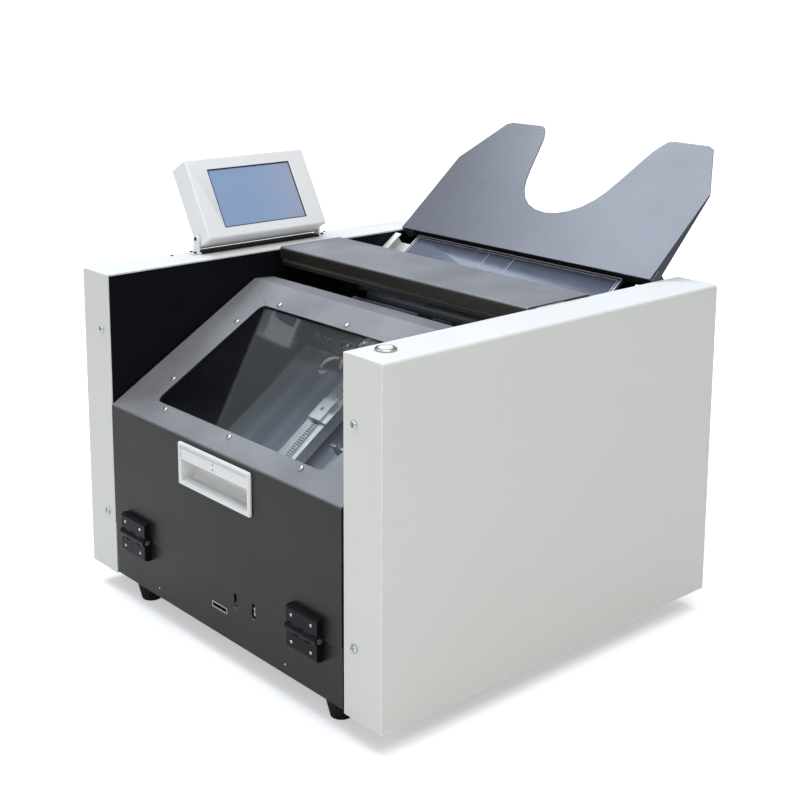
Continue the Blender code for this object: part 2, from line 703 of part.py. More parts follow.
def fold_knife():
    tip, top = KNIFE_TIP_N, CARRIER_N[0]
    half, edge = KNIFE_T / 2, KNIFE_TIP_T / 2
    blade = [(-edge, tip), (edge, tip), (half, tip + KNIFE_TAPER), (half, top + LAP),
             (-half, top + LAP), (-half, tip + KNIFE_TAPER)]
    bar = [(-CARRIER_W / 2, CARRIER_N[0] + CARRIER_NECK), (-CARRIER_NECK / 2, CARRIER_N[0]),
           (CARRIER_NECK / 2, CARRIER_N[0]), (CARRIER_W / 2, CARRIER_N[0] + CARRIER_NECK),
           (CARRIER_W / 2, CARRIER_N[1]), (-CARRIER_W / 2, CARRIER_N[1])]
    add = [extrude([(s - NIP_S, n) for s, n in bar], -CARRIER_HALF, CARRIER_HALF, "yz"),
           extrude([(s - NIP_S, n) for s, n in blade], -KNIFE_HALF, KNIFE_HALF, "yz")]
    piece("fold_knife", "steel", add, parent=DECK, origin=(0, -NIP_S, CARRIER_N[0]))


def knife_guide(side):
    """A channel on the frame plate, in which the end of the knife's carrier slides."""
    back = FRAME_IN - GAP
    floor = back - GUIDE_BACK
    mouth = back - GUIDE_DEEP
    slot = CARRIER_W / 2 + GAP
    outline = [(back, -GUIDE_HALF), (back, GUIDE_HALF), (mouth, GUIDE_HALF), (mouth, slot),
               (floor, slot), (floor, -slot), (mouth, -slot), (mouth, -GUIDE_HALF)]
    body = extrude([(side * x, y - NIP_S) for x, y in outline], *GUIDE_N)
    piece(f"knife_guide_{side_name(side)}", "black_plastic", [body], parent=DECK)


def fold_roller(name, s):
    """A rubber roller on its shaft, which runs in both frame plates and carries a gear."""
    left = -(FRAME_OUT - SHAFT_LEFT)
    right = GEAR_X[1] + GEAR_HUB_W
    profile = [(0, left), (SHAFT_R, left), (SHAFT_R, -ROLLER_HALF), (ROLLER_R, -ROLLER_HALF),
               (ROLLER_R, ROLLER_HALF), (SHAFT_R, ROLLER_HALF), (SHAFT_R, right), (0, right)]
    place = (0, -s, ROLLER_N)
    piece(name, "rubber", [at(turned(profile, "x"), place)], parent=DECK, origin=place, smooth=True)


def gear_outline(phase):
    """Involute teeth: each flank is drawn from the base circle to the tip."""
    pitch_r = GEAR_TEETH * GEAR_MODULE / 2
    base_r = pitch_r * math.cos(PRESSURE_ANGLE)
    tip_r = pitch_r + GEAR_MODULE
    root_r = pitch_r - GEAR_MODULE - GEAR_MODULE / 4
    flat = math.tan(PRESSURE_ANGLE) - PRESSURE_ANGLE
    half_tooth = math.pi / 2 / GEAR_TEETH - GEAR_BACKLASH / 2 / pitch_r
    flank = []
    for k in range(4):
        radius = base_r + (tip_r - base_r) * k / 3
        roll = math.acos(min(1, base_r / radius))
        flank.append((radius, half_tooth + flat - (math.tan(roll) - roll)))
    outline = []
    for tooth in range(GEAR_TEETH):
        middle = math.radians(phase) + 2 * math.pi * tooth / GEAR_TEETH
        outline.append((root_r, middle - flank[0][1]))
        outline += [(radius, middle - half) for radius, half in flank]
        outline += [(radius, middle + half) for radius, half in reversed(flank)]
        outline.append((root_r, middle + flank[0][1]))
    return [(radius * math.cos(angle), radius * math.sin(angle)) for radius, angle in outline]


def roller_gear(name, s, phase):
    place = (0, -s, ROLLER_N)
    outline = [(y - s, n + ROLLER_N) for y, n in gear_outline(phase)]
    teeth = extrude(outline, *GEAR_X, "yz")
    hub = at(rod(GEAR_HUB_R, GEAR_X[0] - GEAR_HUB_W, GEAR_X[0] + LAP, "x"), place)
    bore = at(rod(SHAFT_R + GAP, GEAR_X[0] - GEAR_HUB_W - OVERRUN, GEAR_X[1] + OVERRUN, "x"), place)
    piece(name, "white_plastic", [teeth, hub], [bore], DECK, place)


def roller_motor():
    face = -(FRAME_OUT + GAP)
    profile = [(0, face), (MOTOR_HEAD_R, face), (MOTOR_HEAD_R, face - MOTOR_HEAD),
               (MOTOR_R, face - MOTOR_HEAD), (MOTOR_R, face - MOTOR_LONG), (0, face - MOTOR_LONG)]
    place = (0, -ROLLER_LOW_S, ROLLER_N)
    piece("roller_motor", "steel", [at(turned(profile, "x"), place)], parent=DECK, smooth=True)


# Exit chute from the fold rollers to the rear slot
CHUTE_ASIDE = 0.008
CHUTE_BELOW = 0.018
CHUTE_BEND_AHEAD = 0.0437
CHUTE_BEND_Z = 0.1376
CHUTE_LIFT = 0.001
CHUTE_BEND_R = 0.020


def exit_chute():
    start = deck_point(NIP_S + CHUTE_ASIDE, ROLLER_N - CHUTE_BELOW)
    path = [start, (PAN_BACK - CHUTE_BEND_AHEAD, CHUTE_BEND_Z), (PAN_BACK, EXIT_Z[0] + CHUTE_LIFT)]
    section = extrude(folded(path, SHEET, -1, CHUTE_BEND_R, 5), -SPAN_HALF, SPAN_HALF, "yz")
    piece("exit_chute", "galvanised", [section])


# Infeed: a clear sheet between two side guides, from the tray's foot down to the knife
INFEED_S = (0.003, 0.092)
INFEED_MARGIN = (0.021, 0.041)
INFEED_X = (INFEED_MARGIN[0] - INNER_HALF, INNER_HALF - INFEED_MARGIN[1])
INFEED_T = 0.003
GUIDE_START = 0.016
LEDGE = 0.005
GUIDE_RISE = 0.012
GUIDE_HOOD = 0.0105


def infeed_sheet():
    body = box(INFEED_X, (-INFEED_S[1], -INFEED_S[0]), (-INFEED_T, 0))
    piece("infeed_sheet", "clear_plastic", [body], parent=DECK)


def side_guide(side, reach):
    """A folded guide: a ledge below the clear sheet, a wall and a hood over the paper's edge."""
    low = -INFEED_T - GAP - SHEET
    end = NIP_S - GUIDE_HALF - GAP
    path = [(reach, low), (SPAN_HALF, low), (SPAN_HALF, GUIDE_RISE), (SPAN_HALF - GUIDE_HOOD, GUIDE_RISE)]
    section = [(side * x, n) for x, n in folded(path, SHEET, 1)]
    body = extrude(section, -end, -GUIDE_START, "xz")
    piece(f"side_guide_{side_name(side)}", "white_paint", [body], parent=DECK)


# Feed tray: a plate with a U-shaped cut-out, tapered side flanges and two fixing lugs
TRAY_FOOT_AHEAD = 0.0393
TRAY_FOOT_Y = HOUSING_D - TRAY_FOOT_AHEAD
TRAY_FOOT_RISE = 0.0026
TRAY_FOOT_Z = HOUSING_H + TRAY_FOOT_RISE
TRAY_SIDE_GAP = 0.002
TRAY_HALF = INNER_HALF - TRAY_SIDE_GAP
TRAY_FLANGE_S = (0.0005, 0.111)
TRAY_FLANGE_DROP = 0.012
LUG_S = (0.0005, 0.013)
LUG_DROP = 0.018
TRAY_OUTER = [(0.0, 0.1123), (0.0309, 0.1703), (0.0375, 0.1738)]
TRAY_TIP = [(0.0925, 0.1743), (0.0882, 0.1735), (0.0850, 0.1715)]
TRAY_CUT = [(0.0810, 0.1660), (0.0758, 0.1570), (0.0690, 0.1355), (0.0615, 0.1110), (0.0560, 0.0950),
            (0.0490, 0.0820), (0.0395, 0.0710), (0.0280, 0.0628), (0.0150, 0.0575), (0, 0.0555)]


def paper_tray():
    frame = frame_empty("tray_frame", (0, TRAY_FOOT_Y, TRAY_FOOT_Z), MACHINE, "X", TRAY_ANGLE)
    right = [(TRAY_HALF, 0)] + [(TRAY_HALF - inset, s) for inset, s in TRAY_OUTER] + TRAY_TIP + TRAY_CUT
    left = [(-x, s) for x, s in reversed(right[:-1])]
    add = [extrude(right + left, -SHEET, 0)]
    for side in (-1, 1):
        flange = [(TRAY_FLANGE_S[0], -SHEET / 2), (TRAY_FLANGE_S[1], -SHEET / 2),
                  (TRAY_FLANGE_S[1], -SHEET - LAP), (TRAY_FLANGE_S[0], -TRAY_FLANGE_DROP)]
        lug = [(LUG_S[0], -SHEET - LAP), (LUG_S[0], -LUG_DROP), (LUG_S[1], -LUG_DROP),
               (LUG_S[1], -SHEET - LAP)]
        add.append(extrude(flange, *mirrored((TRAY_HALF - SHEET, TRAY_HALF), side), "yz"))
        add.append(extrude(lug, *mirrored((TRAY_HALF - SHEET, SPAN_HALF), side), "yz"))
    piece("paper_tray", "silver_paint", add, parent=frame)


# Paper stop on its rod, below the slot in the middle of the deck
ROD_R = 0.004
ROD_N = -0.015
STOP_S = 0.300
STOP_HALF = 0.0112
STOP_LONG = 0.028
STOP_N = (-0.0215, 0.0018)
STOP_PLATE_T = 0.002
FINGER_T = 0.002
FINGER_TOP = 0.014
FINGER_IN = 0.004


def stop_rod():
    body = at(rod(ROD_R, -CROSS_LOW_S[0] + GAP, -CROSS_UP_S[1] - GAP, "y", SMALL_ROUND), (0, 0, ROD_N))
    piece("stop_guide_rod", "steel", [body], parent=DECK, smooth=True)


def paper_stop():
    y = around(-STOP_S, STOP_LONG)
    body = box((-STOP_HALF, STOP_HALF), y, STOP_N)
    add = [body]
    for side in (-1, 1):
        add.append(box(mirrored((FINGER_IN, STOP_HALF), side), (y[1] - FINGER_T, y[1]),
                       (STOP_N[1] - LAP, FINGER_TOP)))
    bore = at(rod(ROD_R + GAP, y[0] - OVERRUN, y[1] + OVERRUN, "y", SMALL_ROUND), (0, 0, ROD_N))
    relief = box((-STOP_HALF - OVERRUN, STOP_HALF + OVERRUN), (y[0] - OVERRUN, y[0] + STOP_LONG / 4),
                 (-SHEET, STOP_N[1] + OVERRUN))
    piece("paper_stop", "galvanised", add, [bore, relief], DECK, (0, -STOP_S, ROD_N))


# Start button in its ring, on the right housing
RING_R = 0.009
RING_RISE = 0.0018
RING_DEEP = 0.012
BUTTON_R = 0.0060
BUTTON_RISE = 0.0026
BUTTON_TRAVEL = 0.0022
BUTTON_DEEP = 0.008
BUTTON_EDGE = 0.0006


def start_button():
    top = HOUSING_H + GAP
    low = HOUSING_H - RING_DEEP
    bore = BUTTON_R + GAP
    profile = [(bore, low), (BUTTON_THREAD_R, low), (BUTTON_THREAD_R, top), (RING_R, top),
               (RING_R, top + RING_RISE / 2), (RING_R - RING_RISE / 2, top + RING_RISE),
               (bore, top + RING_RISE)]
    place = (RING_X, RING_Y, 0)
    piece("button_ring", "aluminium", [at(turned(profile, closed=True), place)], smooth=True)
    rise = HOUSING_H + BUTTON_RISE
    cap = [(0, HOUSING_H - BUTTON_DEEP), (BUTTON_R, HOUSING_H - BUTTON_DEEP),
           (BUTTON_R, rise - BUTTON_EDGE), (BUTTON_R - BUTTON_EDGE, rise), (0, rise)]
    piece("start_button", "white_plastic", [at(turned(cap), place)],
          origin=(RING_X, RING_Y, rise), smooth=True)


# Touch screen on a fixed bracket, tilting about two pins
DISPLAY_TILT = math.radians(-30)
DISPLAY_ASIDE = 0.0308
DISPLAY_RISE = 0.0153
DISPLAY_X = -INNER_HALF - DISPLAY_ASIDE
DISPLAY_AHEAD = 0.2114
DISPLAY_Y = HOUSING_D - DISPLAY_AHEAD
DISPLAY_Z = HOUSING_H + DISPLAY_RISE
DISPLAY_W = 0.150
DISPLAY_H = 0.088
DISPLAY_T = 0.028
PIVOT_UP = 0.009
PIVOT_BACK = 0.019
DISPLAY_EDGE = 0.0018
EDGE_PROFILE_SHARE = 0.5
SCREEN_W = 0.104
SCREEN_Z = (0.0106, 0.075)
SCREEN_DEEP = 0.002
SCREEN_T = 0.0012
DISPLAY_PIN_R = 0.0025
PIN_GRIP = 0.006
EAR_GAP = 0.0013
EAR_W = 0.0095
EAR_TAB = 0.006
BRACKET_W = 0.013


def display():
    pivot = frame_empty("display_pivot", (DISPLAY_X, DISPLAY_Y, DISPLAY_Z), MACHINE, "Y", DISPLAY_TILT)
    front, low = PIVOT_BACK, -PIVOT_UP
    body = box((front - DISPLAY_T, front), around(0, DISPLAY_W), (low, low + DISPLAY_H))
    bmesh.ops.bevel(body, geom=body.edges[:], offset=DISPLAY_EDGE, segments=2,
                    profile=EDGE_PROFILE_SHARE, affect="EDGES")
    opening = (low + SCREEN_Z[0], low + SCREEN_Z[1])
    cuts = [box((front - SCREEN_DEEP, front + OVERRUN), around(0, SCREEN_W), opening)]
    end = DISPLAY_W / 2
    for side in (-1, 1):
        hole = mirrored((end - PIN_GRIP - GAP, end + OVERRUN), side)
        cuts.append(rod(DISPLAY_PIN_R + GAP, *hole, "y", SMALL_ROUND))
    piece("display_housing", "white_plastic", [body], cuts, pivot)
    back = front - SCREEN_DEEP + GAP
    glass = box((back, back + SCREEN_T), around(0, SCREEN_W - GAP - GAP),
                (opening[0] + GAP, opening[1] - GAP))
    piece("display_screen", "screen_glass", [glass], parent=pivot)


def display_bracket():
    """A strip on the housing with an upright ear, a pin and a fixing tab at each end."""
    low = HOUSING_H + GAP - DISPLAY_Z
    inner = DISPLAY_W / 2 + EAR_GAP
    outer = inner + FRAME_T
    radius = EAR_W / 2
    ear = [(-radius, low), (radius, low)] + arc((0, 0), radius, 0, 180, 8)
    pin_start = DISPLAY_W / 2 - PIN_GRIP
    add = [box(around(0, BRACKET_W), around(0, inner + outer), (low, low + SHEET))]
    for side in (-1, 1):
        add.append(extrude(ear, *mirrored((inner, outer), side), "xz"))
        add.append(box(around(0, EAR_W), mirrored((inner, outer + EAR_TAB), side), (low, low + SHEET)))
        add.append(rod(DISPLAY_PIN_R, *mirrored((pin_start, inner + LAP), side), "y", SMALL_ROUND))
    for part in add:
        at(part, (DISPLAY_X, DISPLAY_Y, DISPLAY_Z))
    piece("display_bracket", "dark_paint", add)


# Door: a folded sheet with a window and a handle, on two block hinges
DOOR_HALF = PANEL_HALF
DOOR_FACE_Y = -0.001
DOOR_LOW = 0.0545
DOOR_BEND_Z = 0.1733
DOOR_TOP_AHEAD = 0.0342
DOOR_TOP_Y = COVER_Y[0] - DOOR_TOP_AHEAD
DOOR_TOP_DROP = 0.0268
DOOR_TOP_Z = HOUSING_H - DOOR_TOP_DROP
DOOR_END_GAP = 0.0102
DOOR_END_Y = COVER_Y[0] - DOOR_END_GAP
DOOR_END_DROP = 0.0283
DOOR_END_Z = HOUSING_H - DOOR_END_DROP
DOOR_RISE = math.atan2(DOOR_TOP_Z - DOOR_BEND_Z, DOOR_TOP_Y - DOOR_FACE_Y)
DOOR_FOLD_R = 0.003
DOOR_RETURN = 0.012
DOOR_RETURN_END = 0.012
WINDOW_MARGIN = 0.050
WINDOW_HALF = INNER_HALF - WINDOW_MARGIN
WINDOW_S = (0.0235, 0.1675)
WINDOW_R = 0.007
PANE_LAP = 0.016
PANE_HALF = WINDOW_HALF + PANE_LAP
PANE_S = (0.010, 0.182)
PANE_T = 0.003
HANDLE_HALF = 0.055
HANDLE_Z = (0.129, 0.169)
HANDLE_EDGE = 0.0025
HANDLE_RISE = 0.002
HANDLE_WALL = 0.002
HANDLE_DEEP = 0.016
HOOD_Z = 0.1525
HOOD_T = 0.003
HANDLE_R = 0.002
HINGE_Y = -0.0055
HINGE_Z = 0.0542
KNUCKLE_R = 0.0045
HINGE_INSET = 0.025
HINGE_LONG = 0.041
HINGE_X = (INNER_HALF - HINGE_INSET - HINGE_LONG, INNER_HALF - HINGE_INSET)
HINGE_REACH = 0.0188
HINGE_FRONT = -0.0080
HINGE_BEVEL = 0.002
HINGE_NEAR = KNUCKLE_R + SIDE_GAP
KNUCKLES = 5
HINGE_PIN_R = 0.0017
PIN_HEAD_R = 0.0024
PIN_HEAD = 0.0008


def door_frame():
    return frame_empty("door_hinge", (0, HINGE_Y, HINGE_Z), MACHINE)


def slope_frame(hinge):
    """A frame on the door's bend: Y up the slope, Z out of it."""
    place = (0, DOOR_FACE_Y - HINGE_Y, DOOR_BEND_Z - HINGE_Z)
    return frame_empty("door_slope", place, hinge, "X", DOOR_RISE)


def door_path():
    points = [(DOOR_FACE_Y, DOOR_LOW), (DOOR_FACE_Y, DOOR_BEND_Z), (DOOR_TOP_Y, DOOR_TOP_Z),
              (DOOR_END_Y, DOOR_END_Z)]
    return [(y - HINGE_Y, z - HINGE_Z) for y, z in points]


def slope_matrix():
    place = Matrix.Translation((0, DOOR_FACE_Y - HINGE_Y, DOOR_BEND_Z - HINGE_Z))
    return place @ Matrix.Rotation(DOOR_RISE, 4, "X")


def door_shell(hinge):
    path = door_path()
    skin = extrude(folded(path, SHEET, -1, DOOR_FOLD_R), -DOOR_HALF, DOOR_HALF, "yz")
    low, bend, top = (Vector(p) for p in path[:3])
    up = (bend - low).normalized()
    along = (top - bend).normalized()
    end = bend + along * ((top - bend).length - DOOR_RETURN_END)
    inset = SHEET / 2
    first = Vector((up.y, -up.x))
    second = Vector((along.y, -along.x))
    corner = (first + second) / (1 + first.dot(second))
    web = [low + first * inset, bend + corner * inset, end + second * inset,
           end + second * DOOR_RETURN, bend + corner * DOOR_RETURN, low + first * DOOR_RETURN]
    add = [skin]
    for side in (-1, 1):
        add.append(extrude([tuple(p) for p in web], *mirrored((DOOR_HALF - SHEET, DOOR_HALF), side), "yz"))
    window = extrude(rounded((-WINDOW_HALF, WINDOW_HALF), WINDOW_S, WINDOW_R), -SHEET - OVERRUN, OVERRUN)
    bmesh.ops.transform(window, matrix=slope_matrix(), verts=window.verts)
    hole_half = HANDLE_HALF - HANDLE_EDGE + GAP
    hole = box((-hole_half, hole_half), (DOOR_FACE_Y - HINGE_Y - OVERRUN, DOOR_FACE_Y - HINGE_Y + OVERRUN),
               (HANDLE_Z[0] + HANDLE_EDGE - GAP - HINGE_Z, HANDLE_Z[1] - HANDLE_EDGE + GAP - HINGE_Z))
    piece("door_shell", "grey_paint", add, [window, hole], hinge)


def window_pane(slope):
    pane = extrude(rounded((-PANE_HALF, PANE_HALF), PANE_S, WINDOW_R), -SHEET - GAP - PANE_T, -SHEET - GAP)
    piece("window_pane", "clear_plastic", [pane], parent=slope)


def door_handle(hinge):
    """A recessed pull: a rim on the door's face, a cup behind it and a hood over the cup's top."""
    face = DOOR_FACE_Y - HINGE_Y
    z = (HANDLE_Z[0] - HINGE_Z, HANDLE_Z[1] - HINGE_Z)
    outline = rounded((-HANDLE_HALF, HANDLE_HALF), z, HANDLE_R, 2)
    rim = extrude(outline, face - GAP - HANDLE_RISE, face - GAP, "xz")
    cup_half = HANDLE_HALF - HANDLE_EDGE
    cup_z = (z[0] + HANDLE_EDGE, z[1] - HANDLE_EDGE)
    cup = box((-cup_half, cup_half), (face - GAP - LAP, face + HANDLE_DEEP), cup_z)
    floor = face + HANDLE_DEEP - HANDLE_WALL
    hood = HOOD_Z - HINGE_Z
    hood_back = face - GAP - HANDLE_RISE + HOOD_T
    scoop = [(face - OVERRUN, cup_z[0] + HANDLE_WALL), (floor - HANDLE_DEEP / 3, cup_z[0] + HANDLE_WALL),
             (floor, cup_z[0] + HANDLE_DEEP / 2), (floor, cup_z[1] - HANDLE_WALL),
             (hood_back, cup_z[1] - HANDLE_WALL), (hood_back, hood), (face - OVERRUN, hood)]
    hollow = extrude(scoop, HANDLE_WALL - cup_half, cup_half - HANDLE_WALL, "yz")
    piece("door_handle", "white_plastic", [rim, cup], [hollow], hinge)


def hinge_leaf(name, side, up, parent, seat):
    """Half of a block hinge. The lower half has three of the knuckles, the upper half the two
    between them; each half's body stays clear of the other's knuckles."""
    x = mirrored(HINGE_X, side)
    front = HINGE_FRONT - HINGE_Y
    back = seat - HINGE_Y - GAP
    outline = [(front + HINGE_BEVEL, up * HINGE_REACH), (front, up * (HINGE_REACH - HINGE_BEVEL)),
               (front, up * HINGE_NEAR), (back, up * HINGE_NEAR), (back, up * HINGE_REACH)]
    add = [extrude(outline, *x, "yz")]
    pitch = (x[1] - x[0] + GAP) / KNUCKLES
    for k in range(1 if up > 0 else 0, KNUCKLES, 2):
        span = (x[0] + pitch * k, x[0] + pitch * (k + 1) - GAP)
        neck = [(front, 0), (front, up * (HINGE_NEAR + LAP)), (back, up * (HINGE_NEAR + LAP)),
                (back - HINGE_BEVEL, up * HINGE_BEVEL), (KNUCKLE_R - LAP, 0)]
        add.append(extrude(neck, *span, "yz"))
        add.append(rod(KNUCKLE_R, *span, "x"))
    bore = rod(HINGE_PIN_R + GAP, x[0] - OVERRUN, x[1] + OVERRUN, "x", SMALL_ROUND)
    piece(name, "black_plastic", add, [bore], parent)


def hinge_pin(side, parent):
    x = mirrored(HINGE_X, side)
    end = x[1] + GAP
    profile = [(0, x[0]), (HINGE_PIN_R, x[0]), (HINGE_PIN_R, end), (PIN_HEAD_R, end),
               (PIN_HEAD_R, end + PIN_HEAD), (0, end + PIN_HEAD)]
    body = turned(profile, "x", SMALL_ROUND)
    piece(f"hinge_pin_{side_name(side)}", "steel", [body], parent=parent, smooth=True)


def door():
    hinge = door_frame()
    door_shell(hinge)
    window_pane(slope_frame(hinge))
    door_handle(hinge)
    fixed = frame_empty("hinge_line", (0, HINGE_Y, HINGE_Z), MACHINE)
    for side in (-1, 1):
        hinge_leaf(f"hinge_door_{side_name(side)}", side, 1, hinge, DOOR_FACE_Y)
        hinge_leaf(f"hinge_base_{side_name(side)}", side, -1, fixed, 0)
        hinge_pin(side, fixed)


def centre_on_floor():
    """Put the origin under the middle of the machine, on the surface that its feet stand on."""
    bpy.context.view_layer.update()
    graph = bpy.context.evaluated_depsgraph_get()
    low = Vector((math.inf,) * 3)
    high = -low
    for body in bpy.data.objects:
        if body.type == "EMPTY":
            continue
        mesh = body.evaluated_get(graph).to_mesh()
        for vertex in mesh.vertices:
            point = body.matrix_world @ vertex.co
            low = Vector(map(min, low, point))
            high = Vector(map(max, high, point))
    middle = (low + high) / 2
    MACHINE.location = (-middle.x, -middle.y, -low.z)
    bpy.context.view_layer.update()


def booklet_maker():
    base_plate()
    feet()
    front_panel()
    port_connector()
    rear_panel()
    power_inlet()
    top_cover()
    cross_strip()
    crossmembers()
    perforated_bar()
    wire_harness()
    stop_rod()
    paper_stop()
    fold_knife()
    fold_roller("fold_roller_upper", ROLLER_UP_S)
    fold_roller("fold_roller_lower", ROLLER_LOW_S)
    roller_gear("roller_gear_upper", ROLLER_UP_S, 180)
    roller_gear("roller_gear_lower", ROLLER_LOW_S, 180 / GEAR_TEETH)
    roller_motor()
    exit_chute()
    infeed_sheet()
    side_guide(-1, -INFEED_X[0] - LEDGE)
    side_guide(1, INFEED_X[1] - LEDGE)
    paper_tray()
    start_button()
    display()
    display_bracket()
    door()
    for side in (-1, 1):
        side_cover(side)
        frame_plate(side)
        deck_plate("deck_plate_outer", OUTER_X, side)
        deck_plate("deck_plate_inner", INNER_X, side)
        guide_rail(side)
        rail_clip(side)
        staple_head(side)
        clamp_knob(side)
        knife_guide(side)
    centre_on_floor()


booklet_maker()
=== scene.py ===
import math

import bmesh
import bpy
from mathutils import Matrix, Vector


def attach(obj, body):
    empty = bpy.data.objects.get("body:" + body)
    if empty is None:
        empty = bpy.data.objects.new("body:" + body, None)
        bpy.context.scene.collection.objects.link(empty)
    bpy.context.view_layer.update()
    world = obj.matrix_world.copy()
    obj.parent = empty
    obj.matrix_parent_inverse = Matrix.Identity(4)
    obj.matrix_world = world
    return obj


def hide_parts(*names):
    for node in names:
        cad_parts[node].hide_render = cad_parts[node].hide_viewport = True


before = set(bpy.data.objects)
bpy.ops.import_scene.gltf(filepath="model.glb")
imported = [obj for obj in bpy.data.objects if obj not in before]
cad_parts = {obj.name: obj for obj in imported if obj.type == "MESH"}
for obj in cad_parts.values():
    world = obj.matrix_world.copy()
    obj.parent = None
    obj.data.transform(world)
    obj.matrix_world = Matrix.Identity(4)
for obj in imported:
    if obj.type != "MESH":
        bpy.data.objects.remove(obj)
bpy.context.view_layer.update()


# The view of the photograph: a long lens held a little above the machine, in front of its right
# side. The lens is shifted down, because the photograph's lines converge above its middle.
camera_data = bpy.data.cameras.new("photograph_view")
camera_data.sensor_width = 36
camera_data.lens = 63.794
camera_data.shift_y = -0.20
camera_data.clip_start = 0.05
camera = bpy.data.objects.new("photograph_view", camera_data)
bpy.context.scene.collection.objects.link(camera)
camera.location = (1.000687, -0.90737, 0.6112)
camera.rotation_euler = tuple(math.radians(a) for a in (78.962, -0.304, 48.518))
bpy.context.scene.camera = camera
bpy.context.scene.view_settings.view_transform = "Standard"


# The studio lights: a cool key high on the left, a broad ceiling as soft as an overcast sky, a
# warm low fill from the front and a small low panel on the right. The room itself is dim for the
# machine's reflections and white to the camera.
def light_panel(name, place, target, width, height, power, colour):
    data = bpy.data.lights.new(name, "AREA")
    data.shape = "RECTANGLE"
    data.size, data.size_y = width, height
    data.energy = power
    data.color = colour
    made = bpy.data.objects.new(name, data)
    bpy.context.scene.collection.objects.link(made)
    made.location = place
    aim = (Vector(target) - Vector(place)).normalized()
    made.rotation_euler = aim.to_track_quat("-Z", "Y").to_euler()
    made.visible_camera = False


light_panel("key_panel", place=(-1.40, 0.0, 2.51), target=(0, 0, 0.3),
            width=2.2, height=1.0, power=48, colour=(0.78, 0.87, 1.0))
light_panel("ceiling_panel", place=(0.7, -0.3, 2.5), target=(0, 0, 0.3),
            width=2.4, height=2.4, power=46, colour=(0.95, 0.97, 1.0))
light_panel("front_panel_light", place=(0.2, -3.0, 1.1), target=(0, 0, 0.2),
            width=2.0, height=1.2, power=7.5, colour=(1.0, 0.955, 0.87))
light_panel("right_panel_light", place=(1.5, -1.5, 0.35), target=(0.2, -0.1, 0.1),
            width=0.9, height=0.5, power=4.5, colour=(1.0, 0.99, 0.97))

world = bpy.data.worlds.new("pale_room")
bpy.context.scene.world = world
world.use_nodes = True
room_nodes = world.node_tree.nodes
room_light = room_nodes["Background"]
room_light.inputs["Color"].default_value = (0.88, 0.92, 1.0, 1)
room_light.inputs["Strength"].default_value = 0.32
room_seen = room_nodes.new("ShaderNodeBackground")
room_seen.inputs["Color"].default_value = (1, 1, 1, 1)
room_seen.inputs["Strength"].default_value = 1.0
room_choice = room_nodes.new("ShaderNodeMixShader")
room_path = room_nodes.new("ShaderNodeLightPath")
world.node_tree.links.new(room_path.outputs["Is Camera Ray"], room_choice.inputs["Fac"])
world.node_tree.links.new(room_light.outputs[0], room_choice.inputs[1])
world.node_tree.links.new(room_seen.outputs[0], room_choice.inputs[2])
world.node_tree.links.new(room_choice.outputs[0], room_nodes["World Output"].inputs["Surface"])


# Floor: a wide matt sheet of pale paper. To the camera it grows brighter away from the machine,
# so that it runs into the white room without a horizon and the machine's shadow stays.
def mesh_piece(name, bm, smooth_angle=35):
    """A new object from a bmesh, smooth but for edges sharper than the given angle."""
    mesh = bpy.data.meshes.new(name)
    bmesh.ops.recalc_face_normals(bm, faces=bm.faces)
    bm.to_mesh(mesh)
    bm.free()
    mesh.shade_smooth()
    mesh.set_sharp_from_angle(angle=math.radians(smooth_angle))
    made = bpy.data.objects.new(name, mesh)
    bpy.context.scene.collection.objects.link(made)
    return made


floor_half = 60
floor_mesh = bmesh.new()
for side_x, side_y in ((-1, -1), (1, -1), (1, 1), (-1, 1)):
    floor_mesh.verts.new((side_x * floor_half, side_y * floor_half, 0))
floor_mesh.faces.new(floor_mesh.verts)
floor = mesh_piece("studio_floor", floor_mesh)
floor_paint = bpy.data.materials.new("pale_floor")
floor_paint.use_nodes = True
floor_shader = floor_paint.node_tree.nodes["Principled BSDF"]
floor_shader.inputs["Base Color"].default_value = (0.86, 0.86, 0.86, 1)
floor_shader.inputs["Roughness"].default_value = 0.85
floor_shader.inputs["Specular IOR Level"].default_value = 0.2
floor_shader.inputs["Emission Color"].default_value = (1, 1, 1, 1)
floor_tree = floor_paint.node_tree
floor_place = floor_tree.nodes.new("ShaderNodeTexCoord")
floor_reach = floor_tree.nodes.new("ShaderNodeVectorMath")
floor_reach.operation = "LENGTH"
floor_fade = floor_tree.nodes.new("ShaderNodeMapRange")
for socket, value in (("From Min", 0.3), ("From Max", 3.0), ("To Min", 0.45), ("To Max", 0.9)):
    floor_fade.inputs[socket].default_value = value
floor_seen = floor_tree.nodes.new("ShaderNodeMath")
floor_seen.operation = "MULTIPLY"
floor_path = floor_tree.nodes.new("ShaderNodeLightPath")
floor_tree.links.new(floor_place.outputs["Object"], floor_reach.inputs[0])
floor_tree.links.new(floor_reach.outputs["Value"], floor_fade.inputs["Value"])
floor_tree.links.new(floor_fade.outputs["Result"], floor_seen.inputs[0])
floor_tree.links.new(floor_path.outputs["Is Camera Ray"], floor_seen.inputs[1])
floor_tree.links.new(floor_seen.outputs[0], floor_shader.inputs["Emission Strength"])
floor.data.materials.append(floor_paint)


# Base pan: black powder-coated sheet, folded up at the front and back. Such paint has a fine
# orange peel and a faint cloudiness, turns paler along its folds (partly thin paint, partly a
# painted highlight) and paler where it faces up (partly dust, partly a painted sheen of the light
# above);
# the effect groups that give these serve every paint and plastic.
def effect_group(name, inputs, outputs):
    tree = bpy.data.node_groups.new(name, "ShaderNodeTree")
    for socket, kind, value in inputs:
        made = tree.interface.new_socket(socket, in_out="INPUT", socket_type=f"NodeSocket{kind}")
        made.default_value = value
    for socket, kind in outputs:
        tree.interface.new_socket(socket, in_out="OUTPUT", socket_type=f"NodeSocket{kind}")
    return tree, tree.nodes.new("NodeGroupInput"), tree.nodes.new("NodeGroupOutput")


